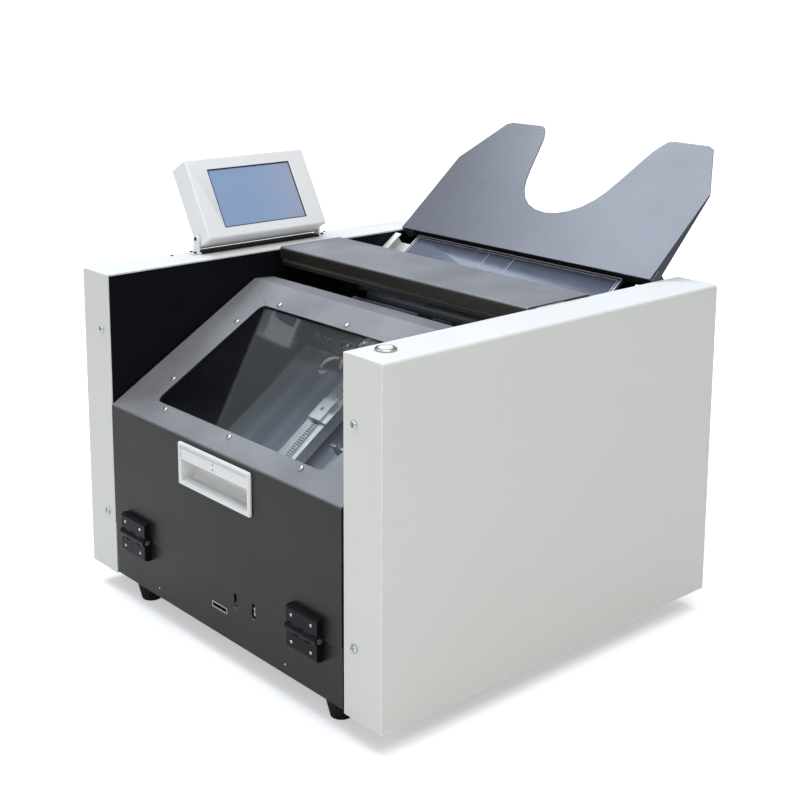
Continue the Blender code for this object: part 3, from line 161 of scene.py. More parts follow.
def node(tree, kind, **settings):
    made = tree.nodes.new(f"ShaderNode{kind}")
    for key, value in settings.items():
        setattr(made, key, value)
    return made


def spread(tree, source, low, high, start=0.0, end=1.0):
    """Map a varying value from one span onto another."""
    made = node(tree, "MapRange")
    tree.links.new(source, made.inputs["Value"])
    for socket, value in (("From Min", start), ("From Max", end),
                          ("To Min", low), ("To Max", high)):
        made.inputs[socket].default_value = value
    return made.outputs["Result"]


def blend_colour(tree, mask, first, second):
    made = node(tree, "Mix", data_type="RGBA")
    for socket, value in ((6, first), (7, second)):
        if isinstance(value, tuple):
            made.inputs[socket].default_value = (*value, 1)
        else:
            tree.links.new(value, made.inputs[socket])
    tree.links.new(mask, made.inputs[0])
    return made.outputs[2]


peel_tree, peel_in, peel_out = effect_group(
    "coating_peel", [("Scale", "Float", 900.0), ("Cloud Scale", "Float", 9.0)],
    [("Height", "Float"), ("Cloud", "Float")])
peel_place = node(peel_tree, "TexCoord")
for scale_from, detail, target in (("Scale", 2.0, "Height"), ("Cloud Scale", 4.0, "Cloud")):
    grain = node(peel_tree, "TexNoise")
    grain.inputs["Detail"].default_value = detail
    peel_tree.links.new(peel_place.outputs["Object"], grain.inputs["Vector"])
    peel_tree.links.new(peel_in.outputs[scale_from], grain.inputs["Scale"])
    peel_tree.links.new(grain.outputs["Fac"], peel_out.inputs[target])

# Paler rounded edges: worn paint in patches and, where the edge colour is much paler than the
# paint, a painted highlight.
edge_tree, edge_in, edge_out = effect_group(
    "edge_wear_and_highlight", [("Radius", "Float", 0.0012), ("Patch Scale", "Float", 60.0)],
    [("Edge", "Float")])
edge_round = node(edge_tree, "Bevel", samples=6)
edge_flat = node(edge_tree, "NewGeometry")
edge_dot = node(edge_tree, "VectorMath", operation="DOT_PRODUCT")
edge_place = node(edge_tree, "TexCoord")
edge_patch = node(edge_tree, "TexNoise")
edge_patch.inputs["Detail"].default_value = 5.0
edge_join = node(edge_tree, "Math", operation="MULTIPLY", use_clamp=True)
edge_tree.links.new(edge_in.outputs["Radius"], edge_round.inputs["Radius"])
edge_tree.links.new(edge_round.outputs["Normal"], edge_dot.inputs[0])
edge_tree.links.new(edge_flat.outputs["Normal"], edge_dot.inputs[1])
edge_tree.links.new(edge_place.outputs["Object"], edge_patch.inputs["Vector"])
edge_tree.links.new(edge_in.outputs["Patch Scale"], edge_patch.inputs["Scale"])
edge_sharp = spread(edge_tree, edge_dot.outputs["Value"], 1, 0, 0.72, 0.99)
edge_patches = spread(edge_tree, edge_patch.outputs["Fac"], 0.25, 1, 0.35, 0.65)
edge_tree.links.new(edge_sharp, edge_join.inputs[0])
edge_tree.links.new(edge_patches, edge_join.inputs[1])
edge_tree.links.new(edge_join.outputs[0], edge_out.inputs["Edge"])

# Paler up-facing faces: settled dust and, where the up-facing colour is much paler than the paint,
# a painted sheen of the light above.
sheen_dust_tree, sheen_dust_in, sheen_dust_out = effect_group(
    "dust_and_painted_sheen", [("Patch Scale", "Float", 14.0)], [("Dust_And_Sheen", "Float")])
sheen_dust_face = node(sheen_dust_tree, "NewGeometry")
sheen_dust_split = node(sheen_dust_tree, "SeparateXYZ")
sheen_dust_place = node(sheen_dust_tree, "TexCoord")
sheen_dust_patch = node(sheen_dust_tree, "TexNoise")
sheen_dust_patch.inputs["Detail"].default_value = 6.0
sheen_dust_join = node(sheen_dust_tree, "Math", operation="MULTIPLY", use_clamp=True)
sheen_dust_tree.links.new(sheen_dust_face.outputs["Normal"], sheen_dust_split.inputs[0])
sheen_dust_tree.links.new(sheen_dust_place.outputs["Object"], sheen_dust_patch.inputs["Vector"])
sheen_dust_tree.links.new(sheen_dust_in.outputs["Patch Scale"], sheen_dust_patch.inputs["Scale"])
sheen_dust_up = spread(sheen_dust_tree, sheen_dust_split.outputs["Z"], 0, 1, 0.1, 0.95)
sheen_dust_thick = spread(sheen_dust_tree, sheen_dust_patch.outputs["Fac"], 0.45, 1.1, 0.15, 0.85)
sheen_dust_tree.links.new(sheen_dust_up, sheen_dust_join.inputs[0])
sheen_dust_tree.links.new(sheen_dust_thick, sheen_dust_join.inputs[1])
sheen_dust_tree.links.new(sheen_dust_join.outputs[0], sheen_dust_out.inputs["Dust_And_Sheen"])


def effect(tree, group, **values):
    made = node(tree, "Group")
    made.node_tree = group
    for socket, value in values.items():
        made.inputs[socket.replace("_", " ").title()].default_value = value
    return made


def bump(tree, shader, height, strength, distance):
    made = node(tree, "Bump")
    made.inputs["Strength"].default_value = strength
    made.inputs["Distance"].default_value = distance
    tree.links.new(height, made.inputs["Height"])
    tree.links.new(made.outputs["Normal"], shader.inputs["Normal"])


def coated(name, colour, cloud_colour, edge_colour, dust_and_sheen_colour, roughness, gloss=0.5,
           peel_scale=900.0, peel=0.10, edge_radius=0.0012):
    """A paint or plastic: its colour and clouding, edge wear and painted highlight, dust and
    painted sheen.
    """
    made = bpy.data.materials.new(name)
    made.use_nodes = True
    tree = made.node_tree
    shader = tree.nodes["Principled BSDF"]
    shader.inputs["Specular IOR Level"].default_value = gloss
    skin = effect(tree, peel_tree, scale=peel_scale)
    edge = effect(tree, edge_tree, radius=edge_radius)
    sheen_dust = effect(tree, sheen_dust_tree)
    base = blend_colour(tree, skin.outputs["Cloud"], colour, cloud_colour)
    dusted_and_sheened = blend_colour(tree, sheen_dust.outputs["Dust_And_Sheen"], base, dust_and_sheen_colour)
    worn_and_lit_edge = blend_colour(tree, edge.outputs["Edge"], dusted_and_sheened, edge_colour)
    tree.links.new(worn_and_lit_edge, shader.inputs["Base Color"])
    matt = spread(tree, skin.outputs["Cloud"], roughness - 0.06, roughness + 0.08, 0.15, 0.85)
    tree.links.new(matt, shader.inputs["Roughness"])
    bump(tree, shader, skin.outputs["Height"], strength=peel, distance=0.0002)
    return made


def dress(name, finish, edge=0.0004, segments=2):
    """A CAD node gets its finish and, by modifiers alone, the small round of its edges."""
    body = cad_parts[name]
    body.data.materials.clear()
    body.data.materials.append(finish)
    if edge:
        weld = body.modifiers.new("joined_faces", "WELD")
        weld.merge_threshold = 0.000004
        rounding = body.modifiers.new("rounded_edges", "BEVEL")
        rounding.width = edge
        rounding.segments = segments
        rounding.limit_method = "ANGLE"
        rounding.angle_limit = math.radians(38)
        rounding.harden_normals = True
        rounding.use_clamp_overlap = True
    return body


black_coat = coated("black_powder_coat", (0.003, 0.003, 0.005), (0.005, 0.005, 0.008),
                    (0.04, 0.04, 0.05), (0.024, 0.025, 0.032), roughness=0.42, gloss=0.12)
dress("base_plate", black_coat)


# Feet: four turned rubber feet under the corners of the pan. A screw through the hollow middle of
# each one holds it up against the sheet.
rubber = coated("foot_rubber", (0.006, 0.006, 0.007), (0.010, 0.010, 0.011), (0.03, 0.03, 0.03),
                (0.04, 0.04, 0.038), roughness=0.72, gloss=0.25, peel_scale=500.0, peel=0.3)
for foot in ("foot_front_left", "foot_front_right", "foot_rear_left", "foot_rear_right"):
    dress(foot, rubber, 0.0006)


# Frame plates: black powder-coated steel plates that stand inside the housings, screwed to the
# base pan. They carry everything between them: the deck, the cover, the knife and the rollers.
for plate in ("frame_plate_left", "frame_plate_right"):
    dress(plate, black_coat, 0.0003)


# Side housings: white powder-coated steel covers, folded at the top, the front and the back. A
# pan-head screw near the top and another near the bottom hold each flange, front and rear.
# The white coat's near-white edge colour is a painted highlight on the housings' rounded edges; its
# paler up-facing colour is partly dust and partly a painted sheen.
white_coat = coated("white_powder_coat", (0.70, 0.695, 0.635), (0.73, 0.725, 0.67),
                    (0.98, 0.975, 0.95), (0.80, 0.80, 0.79), roughness=0.42, gloss=0.45,
                    edge_radius=0.0024)
for cover in ("side_cover_left", "side_cover_right"):
    dress(cover, white_coat, edge=0.0013, segments=3)

drawn_tree, drawn_in, drawn_out = effect_group(
    "drawn_lines", [("Turn", "Vector", (0, 0, 0)), ("Stretch", "Vector", (900, 30, 900)),
                    ("Cloud Stretch", "Vector", (60, 4, 60))],
    [("Line", "Float"), ("Cloud", "Float")])
drawn_place = node(drawn_tree, "TexCoord")
drawn_turn = node(drawn_tree, "Mapping")
drawn_tree.links.new(drawn_place.outputs["Object"], drawn_turn.inputs["Vector"])
drawn_tree.links.new(drawn_in.outputs["Turn"], drawn_turn.inputs["Rotation"])
for scale_from, detail, target in (("Stretch", 3.0, "Line"), ("Cloud Stretch", 5.0, "Cloud")):
    drawn_scale = node(drawn_tree, "Mapping")
    drawn_noise = node(drawn_tree, "TexNoise")
    drawn_noise.inputs["Scale"].default_value = 1.0
    drawn_noise.inputs["Detail"].default_value = detail
    drawn_tree.links.new(drawn_turn.outputs["Vector"], drawn_scale.inputs["Vector"])
    drawn_tree.links.new(drawn_in.outputs[scale_from], drawn_scale.inputs["Scale"])
    drawn_tree.links.new(drawn_scale.outputs["Vector"], drawn_noise.inputs["Vector"])
    drawn_tree.links.new(drawn_noise.outputs["Fac"], drawn_out.inputs[target])


def drawn_metal(name, colour, dark_colour, roughness, spread_roughness, turn=(0, 0, 0),
                stretch=(900, 30, 900), cloud=(60, 4, 60), lines=0.12, metallic=1.0):
    """Bare or plated metal with lines along its length; turn brings the length onto an axis."""
    made = bpy.data.materials.new(name)
    made.use_nodes = True
    tree = made.node_tree
    shader = tree.nodes["Principled BSDF"]
    shader.inputs["Metallic"].default_value = metallic
    grain = effect(tree, drawn_tree, turn=turn, stretch=stretch, cloud_stretch=cloud)
    clouded = spread(tree, grain.outputs["Cloud"], 0, 1, 0.3, 0.7)
    dull = spread(tree, grain.outputs["Cloud"], roughness + spread_roughness, roughness, 0.3, 0.7)
    tree.links.new(blend_colour(tree, clouded, dark_colour, colour), shader.inputs["Base Color"])
    tree.links.new(dull, shader.inputs["Roughness"])
    bump(tree, shader, grain.outputs["Line"], strength=lines, distance=0.0002)
    return made


def lathe(profile, count=24):
    """A turned solid from (radius, height) points that start and end on the axis."""
    bm = bmesh.new()
    rings = []
    for radius, height in profile:
        turns = [2 * math.pi * k / count for k in range(count if radius else 1)]
        rings.append([bm.verts.new((radius * math.cos(turn), radius * math.sin(turn), height))
                      for turn in turns])
    for low, high in zip(rings, rings[1:]):
        for k in range(count):
            j = (k + 1) % count
            corners = [low[k % len(low)], low[j % len(low)],
                       high[j % len(high)], high[k % len(high)]]
            bm.faces.new(list(dict.fromkeys(corners)))
    return bm


def prism(outline, low, high, taper=1.0):
    """A closed solid over an outline; taper scales its lower end."""
    bm = bmesh.new()
    rings = [[bm.verts.new((x * scale, y * scale, z)) for x, y in outline]
             for z, scale in ((low, taper), (high, 1))]
    bm.faces.new(rings[0])
    bm.faces.new(rings[1])
    for k in range(len(outline)):
        j = (k + 1) % len(outline)
        bm.faces.new((rings[0][k], rings[0][j], rings[1][j], rings[1][k]))
    return bm


def carve(body, cutter):
    """The mesh of one solid with another cut out of it."""
    things = []
    for bm in (body, cutter):
        bmesh.ops.recalc_face_normals(bm, faces=bm.faces)
        mesh = bpy.data.meshes.new("carving")
        bm.to_mesh(mesh)
        bm.free()
        things.append(bpy.data.objects.new("carving", mesh))
        bpy.context.scene.collection.objects.link(things[-1])
    cut = things[0].modifiers.new("cut", "BOOLEAN")
    cut.operation = "DIFFERENCE"
    cut.solver = "EXACT"
    cut.object = things[1]
    graph = bpy.context.evaluated_depsgraph_get()
    result = bpy.data.meshes.new_from_object(things[0].evaluated_get(graph))
    for thing in things:
        bpy.data.objects.remove(thing)
    return result


def pan_head(radius, height):
    """The head of a pan-head screw with a cross recess."""
    dome = [(0, -0.0003), (radius, -0.0003), (radius, height * 0.4), (radius * 0.92, height * 0.72),
            (radius * 0.72, height * 0.92), (radius * 0.4, height), (0, height)]
    arm, half = radius * 0.62, radius * 0.14
    cross = [(half, half), (half, arm), (-half, arm), (-half, half), (-arm, half), (-arm, -half),
             (-half, -half), (-half, -arm), (half, -arm), (half, -half), (arm, -half), (arm, half)]
    return carve(lathe(dome), prism(cross, height * 0.25, height * 1.2, taper=0.55))


machine = Vector((0.015887, -0.24787, 0.021))


def set_out(name, master, places, finish, body="frame", smooth_angle=40):
    """Copies of one small part in a single mesh. A place is a point, from the middle of the
    housings' lower front edges, and the way that the part faces there."""
    bm = bmesh.new()
    for k, (point, facing) in enumerate(places):
        start = len(bm.verts)
        bm.from_mesh(master)
        bm.verts.ensure_lookup_table()
        stand = Vector(facing).to_track_quat("Z", "Y").to_matrix().to_4x4()
        spin = Matrix.Rotation(k * 0.9 + 0.4, 4, "Z")
        bmesh.ops.transform(bm, matrix=Matrix.Translation(machine + Vector(point)) @ stand @ spin,
                            verts=bm.verts[start:])
    made = mesh_piece(name, bm, smooth_angle)
    made.data.materials.append(finish)
    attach(made, body)
    return made


bright_zinc = drawn_metal("bright_zinc_plate", (0.74, 0.75, 0.76), (0.50, 0.51, 0.53),
                          roughness=0.20, spread_roughness=0.14)
flange_x, housing_depth = 0.1892, 0.4094
set_out("housing_screws", pan_head(radius=0.0037, height=0.0024),
        [((side * flange_x, y, z), (0, facing, 0)) for side in (-1, 1) for z in (0.061, 0.2445)
         for y, facing in ((0, -1), (housing_depth, 1))], bright_zinc)


# Front panel: anthracite powder-coated sheet below the door, with a port and two slots. Like all
# the sheet between the housings it is satin; its much paler up-facing colour is a painted sheen of
# the light above.
anthracite_coat = coated("anthracite_powder_coat", (0.0120, 0.0095, 0.0045), (0.018, 0.0150, 0.009),
                         (0.20, 0.20, 0.20), (0.290, 0.292, 0.306), roughness=0.42, gloss=0.40,
                         edge_radius=0.0009)
dress("front_panel", anthracite_coat, 0.0003)
panel_screw_x, panel_screw_z = 0.098, 0.0115
set_out("panel_screws", pan_head(radius=0.0010, height=0.0006),
        [((side * panel_screw_x, 0, panel_screw_z), (0, -1, 0)) for side in (-1, 1)], bright_zinc)


# Lock tab behind the second slot: two pressed eyes of zinc-plated steel, one above the other,
# that show through the slot.
eye_rim = lathe([(0, 0), (0.0021, 0), (0.0021, 0.0012), (0.0017, 0.0016), (0, 0.0016)])
eye_bore = lathe([(0, 0.0008), (0.0009, 0.0008), (0.0009, 0.0020), (0, 0.0020)], count=12)
slot_x, tab_depth = 0.053, 0.0030
set_out("lock_eyes", carve(eye_rim, eye_bore),
        [((slot_x, tab_depth, z), (0, -1, 0)) for z in (0.0398, 0.0442)], bright_zinc)


# Port: a drawn nickel-plated shell with a flange round its mouth, set behind the cut-out in the
# front panel.
nickel = drawn_metal("nickel_plate", (0.62, 0.60, 0.57), (0.42, 0.41, 0.39),
                     roughness=0.20, spread_roughness=0.15)
dress("port_connector", nickel, 0.0001)


# Rear panel: black powder-coated sheet with the exit slot, held by four screws on each side. The
# moulded mains inlet is fixed in one of its lower corners.
moulded_black = coated("moulded_black", (0.004, 0.004, 0.005), (0.007, 0.007, 0.008),
                       (0.05, 0.05, 0.05), (0.012, 0.012, 0.014), roughness=0.26, gloss=0.12,
                       peel_scale=1400.0, peel=0.2)
dress("rear_panel", black_coat, 0.0003)
panel_back, rear_screw_x = 0.4075, 0.164
set_out("rear_panel_screws", pan_head(radius=0.0028, height=0.0018),
        [((x, panel_back, z), (0, 1, 0)) for x in (-rear_screw_x, rear_screw_x)
         for z in (0.012, 0.098, 0.190, 0.280)], bright_zinc)
dress("power_inlet", moulded_black, 0.0003)


# Top cover over the knife, and the strip below its front lip: folded anthracite sheet. A black
# socket screw near each end of the lip ties it to the frame.
for sheet in ("top_cover", "cross_strip"):
    dress(sheet, anthracite_coat, 0.0003)
socket_rim = lathe([(0, -0.0003), (0.0017, -0.0003), (0.0017, 0.0005), (0.0014, 0.0008),
                    (0, 0.0008)])
hexagon = lathe([(0, 0.0002), (0.0008, 0.0002), (0.0008, 0.0012), (0, 0.0012)], count=6)
lip_x, lip_front, lip_z = 0.1722, 0.2030, 0.2966
set_out("cover_lip_screws", carve(socket_rim, hexagon),
        [((side * lip_x, lip_front, lip_z), (0, -1, 0)) for side in (-1, 1)], moulded_black)


# Paper deck: four galvanised plates that slope at 35 degrees, the two in the middle painted darker
# than the outer ones, a painted shade. Rolled zinc has long faint streaks down the slope and clouds
# of duller metal.
slope_turn = (math.radians(-35), 0, 0)
streaks = {"turn": slope_turn, "stretch": (420, 6, 420), "cloud": (40, 1.6, 40), "lines": 0.06}
zinc = drawn_metal("rolled_zinc", (0.60, 0.65, 0.76), (0.20, 0.22, 0.28),
                   roughness=0.42, spread_roughness=0.14, metallic=0.45, **streaks)
# The middle plates' dark colour is painted shade.
shaded_zinc = drawn_metal("shaded_zinc", (0.16, 0.175, 0.22), (0.07, 0.078, 0.10),
                        roughness=0.46, spread_roughness=0.14, metallic=0.8, **streaks)
for side in ("left", "right"):
    dress(f"deck_plate_outer_{side}", zinc, 0.0003)
    dress(f"deck_plate_inner_{side}", shaded_zinc, 0.0003)


# Crossmembers under the deck: a steel channel whose raised pads are the staplers' anvils, and a
# black channel at the lower end.
ground_steel = drawn_metal("ground_steel", (0.52, 0.52, 0.51), (0.36, 0.36, 0.36),
                           roughness=0.26, spread_roughness=0.16, turn=slope_turn,
                           stretch=(30, 900, 900))
dress("anvil_crossmember", ground_steel, 0.0003)
dress("lower_crossmember", black_coat, 0.0003)


# Guide rails: aluminium extrusions with a slot along the top, in which a clip slides. The staple
# heads, ground from steel, hold their upper ends.
extruded = drawn_metal("extruded_aluminium", (0.80, 0.79, 0.76), (0.62, 0.61, 0.59),
                       roughness=0.30, spread_roughness=0.14, turn=slope_turn,
                       stretch=(1400, 20, 1400), metallic=0.6)
for side in ("left", "right"):
    dress(f"guide_rail_{side}", extruded, 0.0002)
    dress(f"rail_clip_{side}", extruded, 0.0004)
    dress(f"staple_head_{side}", ground_steel, 0.0004)


# Setting tapes: a pale moulded strip snapped into each rail's slot, with raised division bars and,
# at its lower end, a white stop with a dark catch. Their sizes run across the deck, down it
# (negative) and out from it, starting at the middle of its upper edge.
def bar_grid(boxes):
    """One mesh of upright boxes, each given as its spans in x, y and z."""
    bm = bmesh.new()
    for (x0, x1), (y0, y1), (z0, z1) in boxes:
        corners = [bm.verts.new((x, y, z)) for z in (z0, z1)
                   for x, y in ((x0, y0), (x1, y0), (x1, y1), (x0, y1))]
        for face in ((0, 1, 2, 3), (4, 5, 6, 7), (0, 1, 5, 4), (1, 2, 6, 5), (2, 3, 7, 6),
                     (3, 0, 4, 7)):
            bm.faces.new([corners[k] for k in face])
    return bm


deck_rise, deck_run = 0.25811, 0.36862
deck_frame = Matrix.Translation((0, 0.381, 0.297))
deck_frame @= Matrix.Rotation(math.atan2(deck_rise, deck_run), 4, "X")
moulded_white = coated("moulded_white", (0.80, 0.80, 0.78), (0.83, 0.83, 0.81),
                       (0.86, 0.86, 0.85), (0.82, 0.82, 0.81), roughness=0.36, gloss=0.5,
                       peel_scale=1400.0, peel=0.15)
tape_half, tape_z, stop_z = 0.0031, (0.0146, 0.0155), (0.0146, 0.0163)
bar_half, short_bar_end, bar_z, catch_z = 0.0028, 0.0004, (0.0152, 0.0159), (0.0146, 0.0158)
bar_width, bar_pitch = 0.0009, 0.0028
tapes, divisions = [], []
for rail_x in (-0.047, 0.047):
    tape_x = (rail_x - tape_half, rail_x + tape_half)
    for start, end in ((0.203, 0.244), (0.274, 0.414)):
        tapes.append((tape_x, (-end, -start), tape_z))
        for k in range(int((end - start - 0.002) / bar_pitch)):
            y = -start - 0.0015 - bar_pitch * k
            bar_x = (rail_x - bar_half, rail_x + (bar_half if k % 5 else short_bar_end))
            divisions.append((bar_x, (y - bar_width, y), bar_z))
    tapes.append((tape_x, (-0.432, -0.424), stop_z))
    divisions.append(((rail_x - 0.0010, rail_x + tape_half), (-0.424, -0.415), catch_z))
for name, boxes, finish in (("setting_tapes", tapes, moulded_white),
                            ("tape_divisions", divisions, moulded_black)):
    bm = bar_grid(boxes)
    bm.transform(Matrix.Translation(machine) @ deck_frame)
    made = mesh_piece(name, bm)
    made.data.materials.append(finish)
    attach(made, "frame")


# Perforated bar: a polished nickel-plated strap across the rails, with its rows of holes. The two
# clamp knobs hold it down on the staple heads.
polished = drawn_metal("polished_nickel", (0.80, 0.77, 0.69), (0.60, 0.57, 0.50),
                       roughness=0.12, spread_roughness=0.14, turn=slope_turn,
                       stretch=(16, 700, 700), cloud=(3, 40, 40), lines=0.06)
dress("perforated_bar", polished, 0.0003)


# Clamp knobs: turned and nickel-plated thumb screws with a knurled rim and a slot across the top,
# screwed through the bar into the heads.
def on_deck(x, s, n):
    """A point over the deck: s down it from its upper edge, n square to it."""
    return deck_frame @ Vector((x, -s, n))


def knurled_knob(teeth=44, groove_scale=0.955):
    """A thumb screw's head, its rim drawn in at every second point round it for the knurling."""
    collar, edge, rim = 0.0058, 0.0108, 0.0119
    knob = lathe([(0, 0.0003), (collar, 0.0003), (collar, 0.0034), (edge, 0.0034), (rim, 0.0043),
                  (rim, 0.0125), (edge, 0.0135), (0.0075, 0.0135), (0.0068, 0.0130), (0, 0.0130)],
                 2 * teeth)
    for vert in knob.verts:
        if vert.co.xy.length > 0.0115:
            turn = math.atan2(vert.co.y, vert.co.x) / math.tau * 2 * teeth
            if round(turn) % 2:
                vert.co.xy *= groove_scale
    slot = bar_grid([((-0.007, 0.007), (-0.0007, 0.0007), (0.0118, 0.0140))])
    return carve(knob, slot)


deck_out = deck_frame.to_3x3() @ Vector((0, 0, 1))
knob_master = knurled_knob()
bar_s, bar_top = 0.180, 0.0190
for side, knob_x in (("left", -0.047), ("right", 0.047)):
    dress(f"clamp_knob_{side}", polished, 0)
    knob = set_out(f"knurled_knob_{side}", knob_master,
                   [(on_deck(knob_x, bar_s, bar_top), deck_out)], polished, f"knob_{side}", 20)
    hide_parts(f"clamp_knob_{side}")


# Wire harness: three insulated wires twisted together and tied along the bar, with a spare loop
# beside the left rail and its end led out through the right frame plate.
def harness_route(step=0.002):
    """Points of the twisted wires' middle line, on a Catmull-Rom curve over the deck."""
    loop_x, loop_s, loop_radius = -0.088, 0.209, 0.0115
    loop_turns = [math.radians(-60 - 285 * k / 14) for k in range(15)]
    loop = [(loop_x + loop_radius * math.cos(turn), loop_s - loop_radius * math.sin(turn),
             0.021 - 0.0004 * k) for k, turn in enumerate(loop_turns)]
    route = loop + [(-0.074, 0.1985, 0.0206), (-0.058, 0.1970, 0.0205), (-0.030, 0.1962, 0.0205),
                    (0.000, 0.1962, 0.0205), (0.040, 0.1962, 0.0205), (0.062, 0.1975, 0.0205),
                    (0.090, 0.204, 0.0170), (0.120, 0.213, 0.0120), (0.146, 0.225, 0.0080),
                    (0.162, 0.229, 0.007), (0.1837, 0.229, 0.007)]
    route = [Vector((x, -s, n)) for x, s, n in route]
    padded = [route[0] * 2 - route[1]] + route + [route[-1] * 2 - route[-2]]
    points = []
    for a, b, c, d in zip(padded, padded[1:], padded[2:], padded[3:]):
        count = max(1, round((c - b).length / step))
        for t in (k / count for k in range(count)):
            points.append(((b * 2) + (c - a) * t + (a * 2 - b * 5 + c * 4 - d) * t * t
                           + (b * 3 - a - c * 3 + d) * t ** 3) / 2)
    return points + [route[-1]]


def tube(bm, points, radius, offset=0.0, phase=0.0, pitch=1.0, sides=8):
    """A round wire along points; an offset makes it wind round them once in each pitch."""
    rings, reach = [], 0.0
    for k, point in enumerate(points):
        along = (points[min(k + 1, len(points) - 1)] - points[max(k - 1, 0)]).normalized()
        reach += (point - points[k - 1]).length if k else 0
        aside = along.cross(Vector((0, 0, 1))).normalized()
        up = aside.cross(along)
        wind = phase + math.tau * reach / pitch
        middle = point + (aside * math.cos(wind) + up * math.sin(wind)) * offset
        rings.append([bm.verts.new(middle + (aside * math.cos(a) + up * math.sin(a)) * radius)
                      for a in (math.tau * j / sides for j in range(sides))])
    for low, high in zip(rings, rings[1:]):
        for j in range(sides):
            bm.faces.new((low[j], low[(j + 1) % sides], high[(j + 1) % sides], high[j]))
    bm.faces.new(rings[0])
    bm.faces.new(rings[-1])


wire_line = harness_route()
wire_radius, wind_radius, lay_length, tie_radius = 0.00095, 0.00085, 0.034, 0.00185
sleeve = coated("wire_sleeve", (0.90, 0.87, 0.85), (0.94, 0.91, 0.89), (0.95, 0.93, 0.91),
                (0.90, 0.88, 0.86), roughness=0.42)
wire_red = coated("wire_red", (0.55, 0.10, 0.09), (0.62, 0.13, 0.11), (0.66, 0.22, 0.20),
                  (0.60, 0.24, 0.22), roughness=0.42)
dress("wire_harness", sleeve, 0)
for name, phase, finish in (("wire_pale", 0.0, sleeve), ("wire_second", math.tau / 3, sleeve),
                            ("wire_marked", 2 * math.tau / 3, wire_red)):
    bm = bmesh.new()
    tube(bm, wire_line, wire_radius, wind_radius, phase, lay_length)
    bm.transform(Matrix.Translation(machine) @ deck_frame)
    made = mesh_piece(name, bm, 60)
    made.data.materials.append(finish)
    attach(made, "frame")
    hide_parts("wire_harness")
bm = bmesh.new()
for k in (6, 22, 58, 84, 110, 134, 154):
    tube(bm, wire_line[k:k + 2], tie_radius)
bm.transform(Matrix.Translation(machine) @ deck_frame)
ties = mesh_piece("wire_ties", bm)
ties.data.materials.append(moulded_black)
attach(ties, "frame")


# Paper stop: a zinc-plated block with two raised fingers in the deck's middle slot. It slides on a
# ground steel rod between the crossmembers.
dress("paper_stop", zinc, 0.0003)
dress("stop_guide_rod", ground_steel, 0)


# Fold knife: a ground steel blade across the machine, square to the deck. It slides in two moulded
# guides, one on each frame plate.
dress("fold_knife", ground_steel, 0.0001)
for side in ("left", "right"):
    dress(f"knife_guide_{side}", moulded_black, 0.0003)


# Fold rollers: rubber on steel shafts, with moulded gears that mesh at the right end. The motor
# drives them at the left.
roller_rubber = coated("roller_rubber", (0.030, 0.030, 0.032), (0.040, 0.040, 0.042),
                       (0.06, 0.06, 0.06), (0.07, 0.07, 0.07), roughness=0.62, gloss=0.4,
                       peel_scale=700.0, peel=0.3)
for place in ("upper", "lower"):
    dress(f"fold_roller_{place}", roller_rubber, 0.0003)
    dress(f"roller_gear_{place}", moulded_white, 0.0001)
dress("roller_motor", ground_steel, 0.0004)


# Exit chute: galvanised sheet between the frame plates, bent back from the rollers to the slot in
# the rear panel.
dress("exit_chute", zinc, 0.0003)


# Infeed: an acrylic sheet between two white folded guides, over the deck's upper end. Its sawn
# edges and the lines scored in it look frosted.
def clear_plastic(name, colour, cloud_colour, roughness, clear, gloss):
    """See-through sheet. Light falls through it; the eye and mirrors see its surface."""
    made = bpy.data.materials.new(name)
    made.use_nodes = True
    tree = made.node_tree
    shader = tree.nodes["Principled BSDF"]
    shader.inputs["IOR"].default_value = 1.49
    shader.inputs["Transmission Weight"].default_value = clear
    shader.inputs["Specular IOR Level"].default_value = gloss
    skin = effect(tree, peel_tree, scale=140.0)
    base = blend_colour(tree, skin.outputs["Cloud"], colour, cloud_colour)
    hazy = spread(tree, skin.outputs["Cloud"], *roughness, 0.4, 0.7)
    tree.links.new(base, shader.inputs["Base Color"])
    tree.links.new(hazy, shader.inputs["Roughness"])
    path = node(tree, "LightPath")
    passing = node(tree, "Math", operation="MAXIMUM")
    open_way = node(tree, "BsdfTransparent")
    open_way.inputs["Color"].default_value = (0.90, 0.93, 0.94, 1)
    choice = node(tree, "MixShader")
    tree.links.new(path.outputs["Is Shadow Ray"], passing.inputs[0])
    tree.links.new(path.outputs["Is Diffuse Ray"], passing.inputs[1])
    tree.links.new(passing.outputs[0], choice.inputs["Fac"])
    tree.links.new(shader.outputs[0], choice.inputs[1])
    tree.links.new(open_way.outputs[0], choice.inputs[2])
    tree.links.new(choice.outputs[0], tree.nodes["Material Output"].inputs["Surface"])
    return made


satin_acrylic = clear_plastic("satin_acrylic", (0.10, 0.115, 0.16), (0.20, 0.22, 0.29),
                              roughness=(0.22, 0.32), clear=0.45, gloss=0.25)
dress("infeed_sheet", satin_acrylic, 0.0002)
frosted = coated("frosted_edge", (0.72, 0.76, 0.80), (0.80, 0.84, 0.87), (0.86, 0.88, 0.90),
                 (0.82, 0.84, 0.86), roughness=0.50)
lines = []
for inset, broad in ((0.0, 0.0010), (0.0032, 0.0005)):
    left, right, top, low = -0.155 + inset, 0.135 - inset, -0.003 - inset, -0.092 + inset
    lines += [((left, left + broad), (low, top)), ((right - broad, right), (low, top)),
              ((left, right), (top - broad, top))]
for divider in (-0.041, -0.005):
    lines.append(((divider, divider + 0.0003), (-0.090, -0.007)))
line_z = (-0.0002, 0.0002)
edging = bar_grid([(x, y, line_z) for x, y in lines])
edging.transform(Matrix.Translation(machine) @ deck_frame)
edges = mesh_piece("infeed_edge_lines", edging)
edges.data.materials.append(frosted)
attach(edges, "frame")
for side in ("left", "right"):
    dress(f"side_guide_{side}", white_coat, 0.0003)


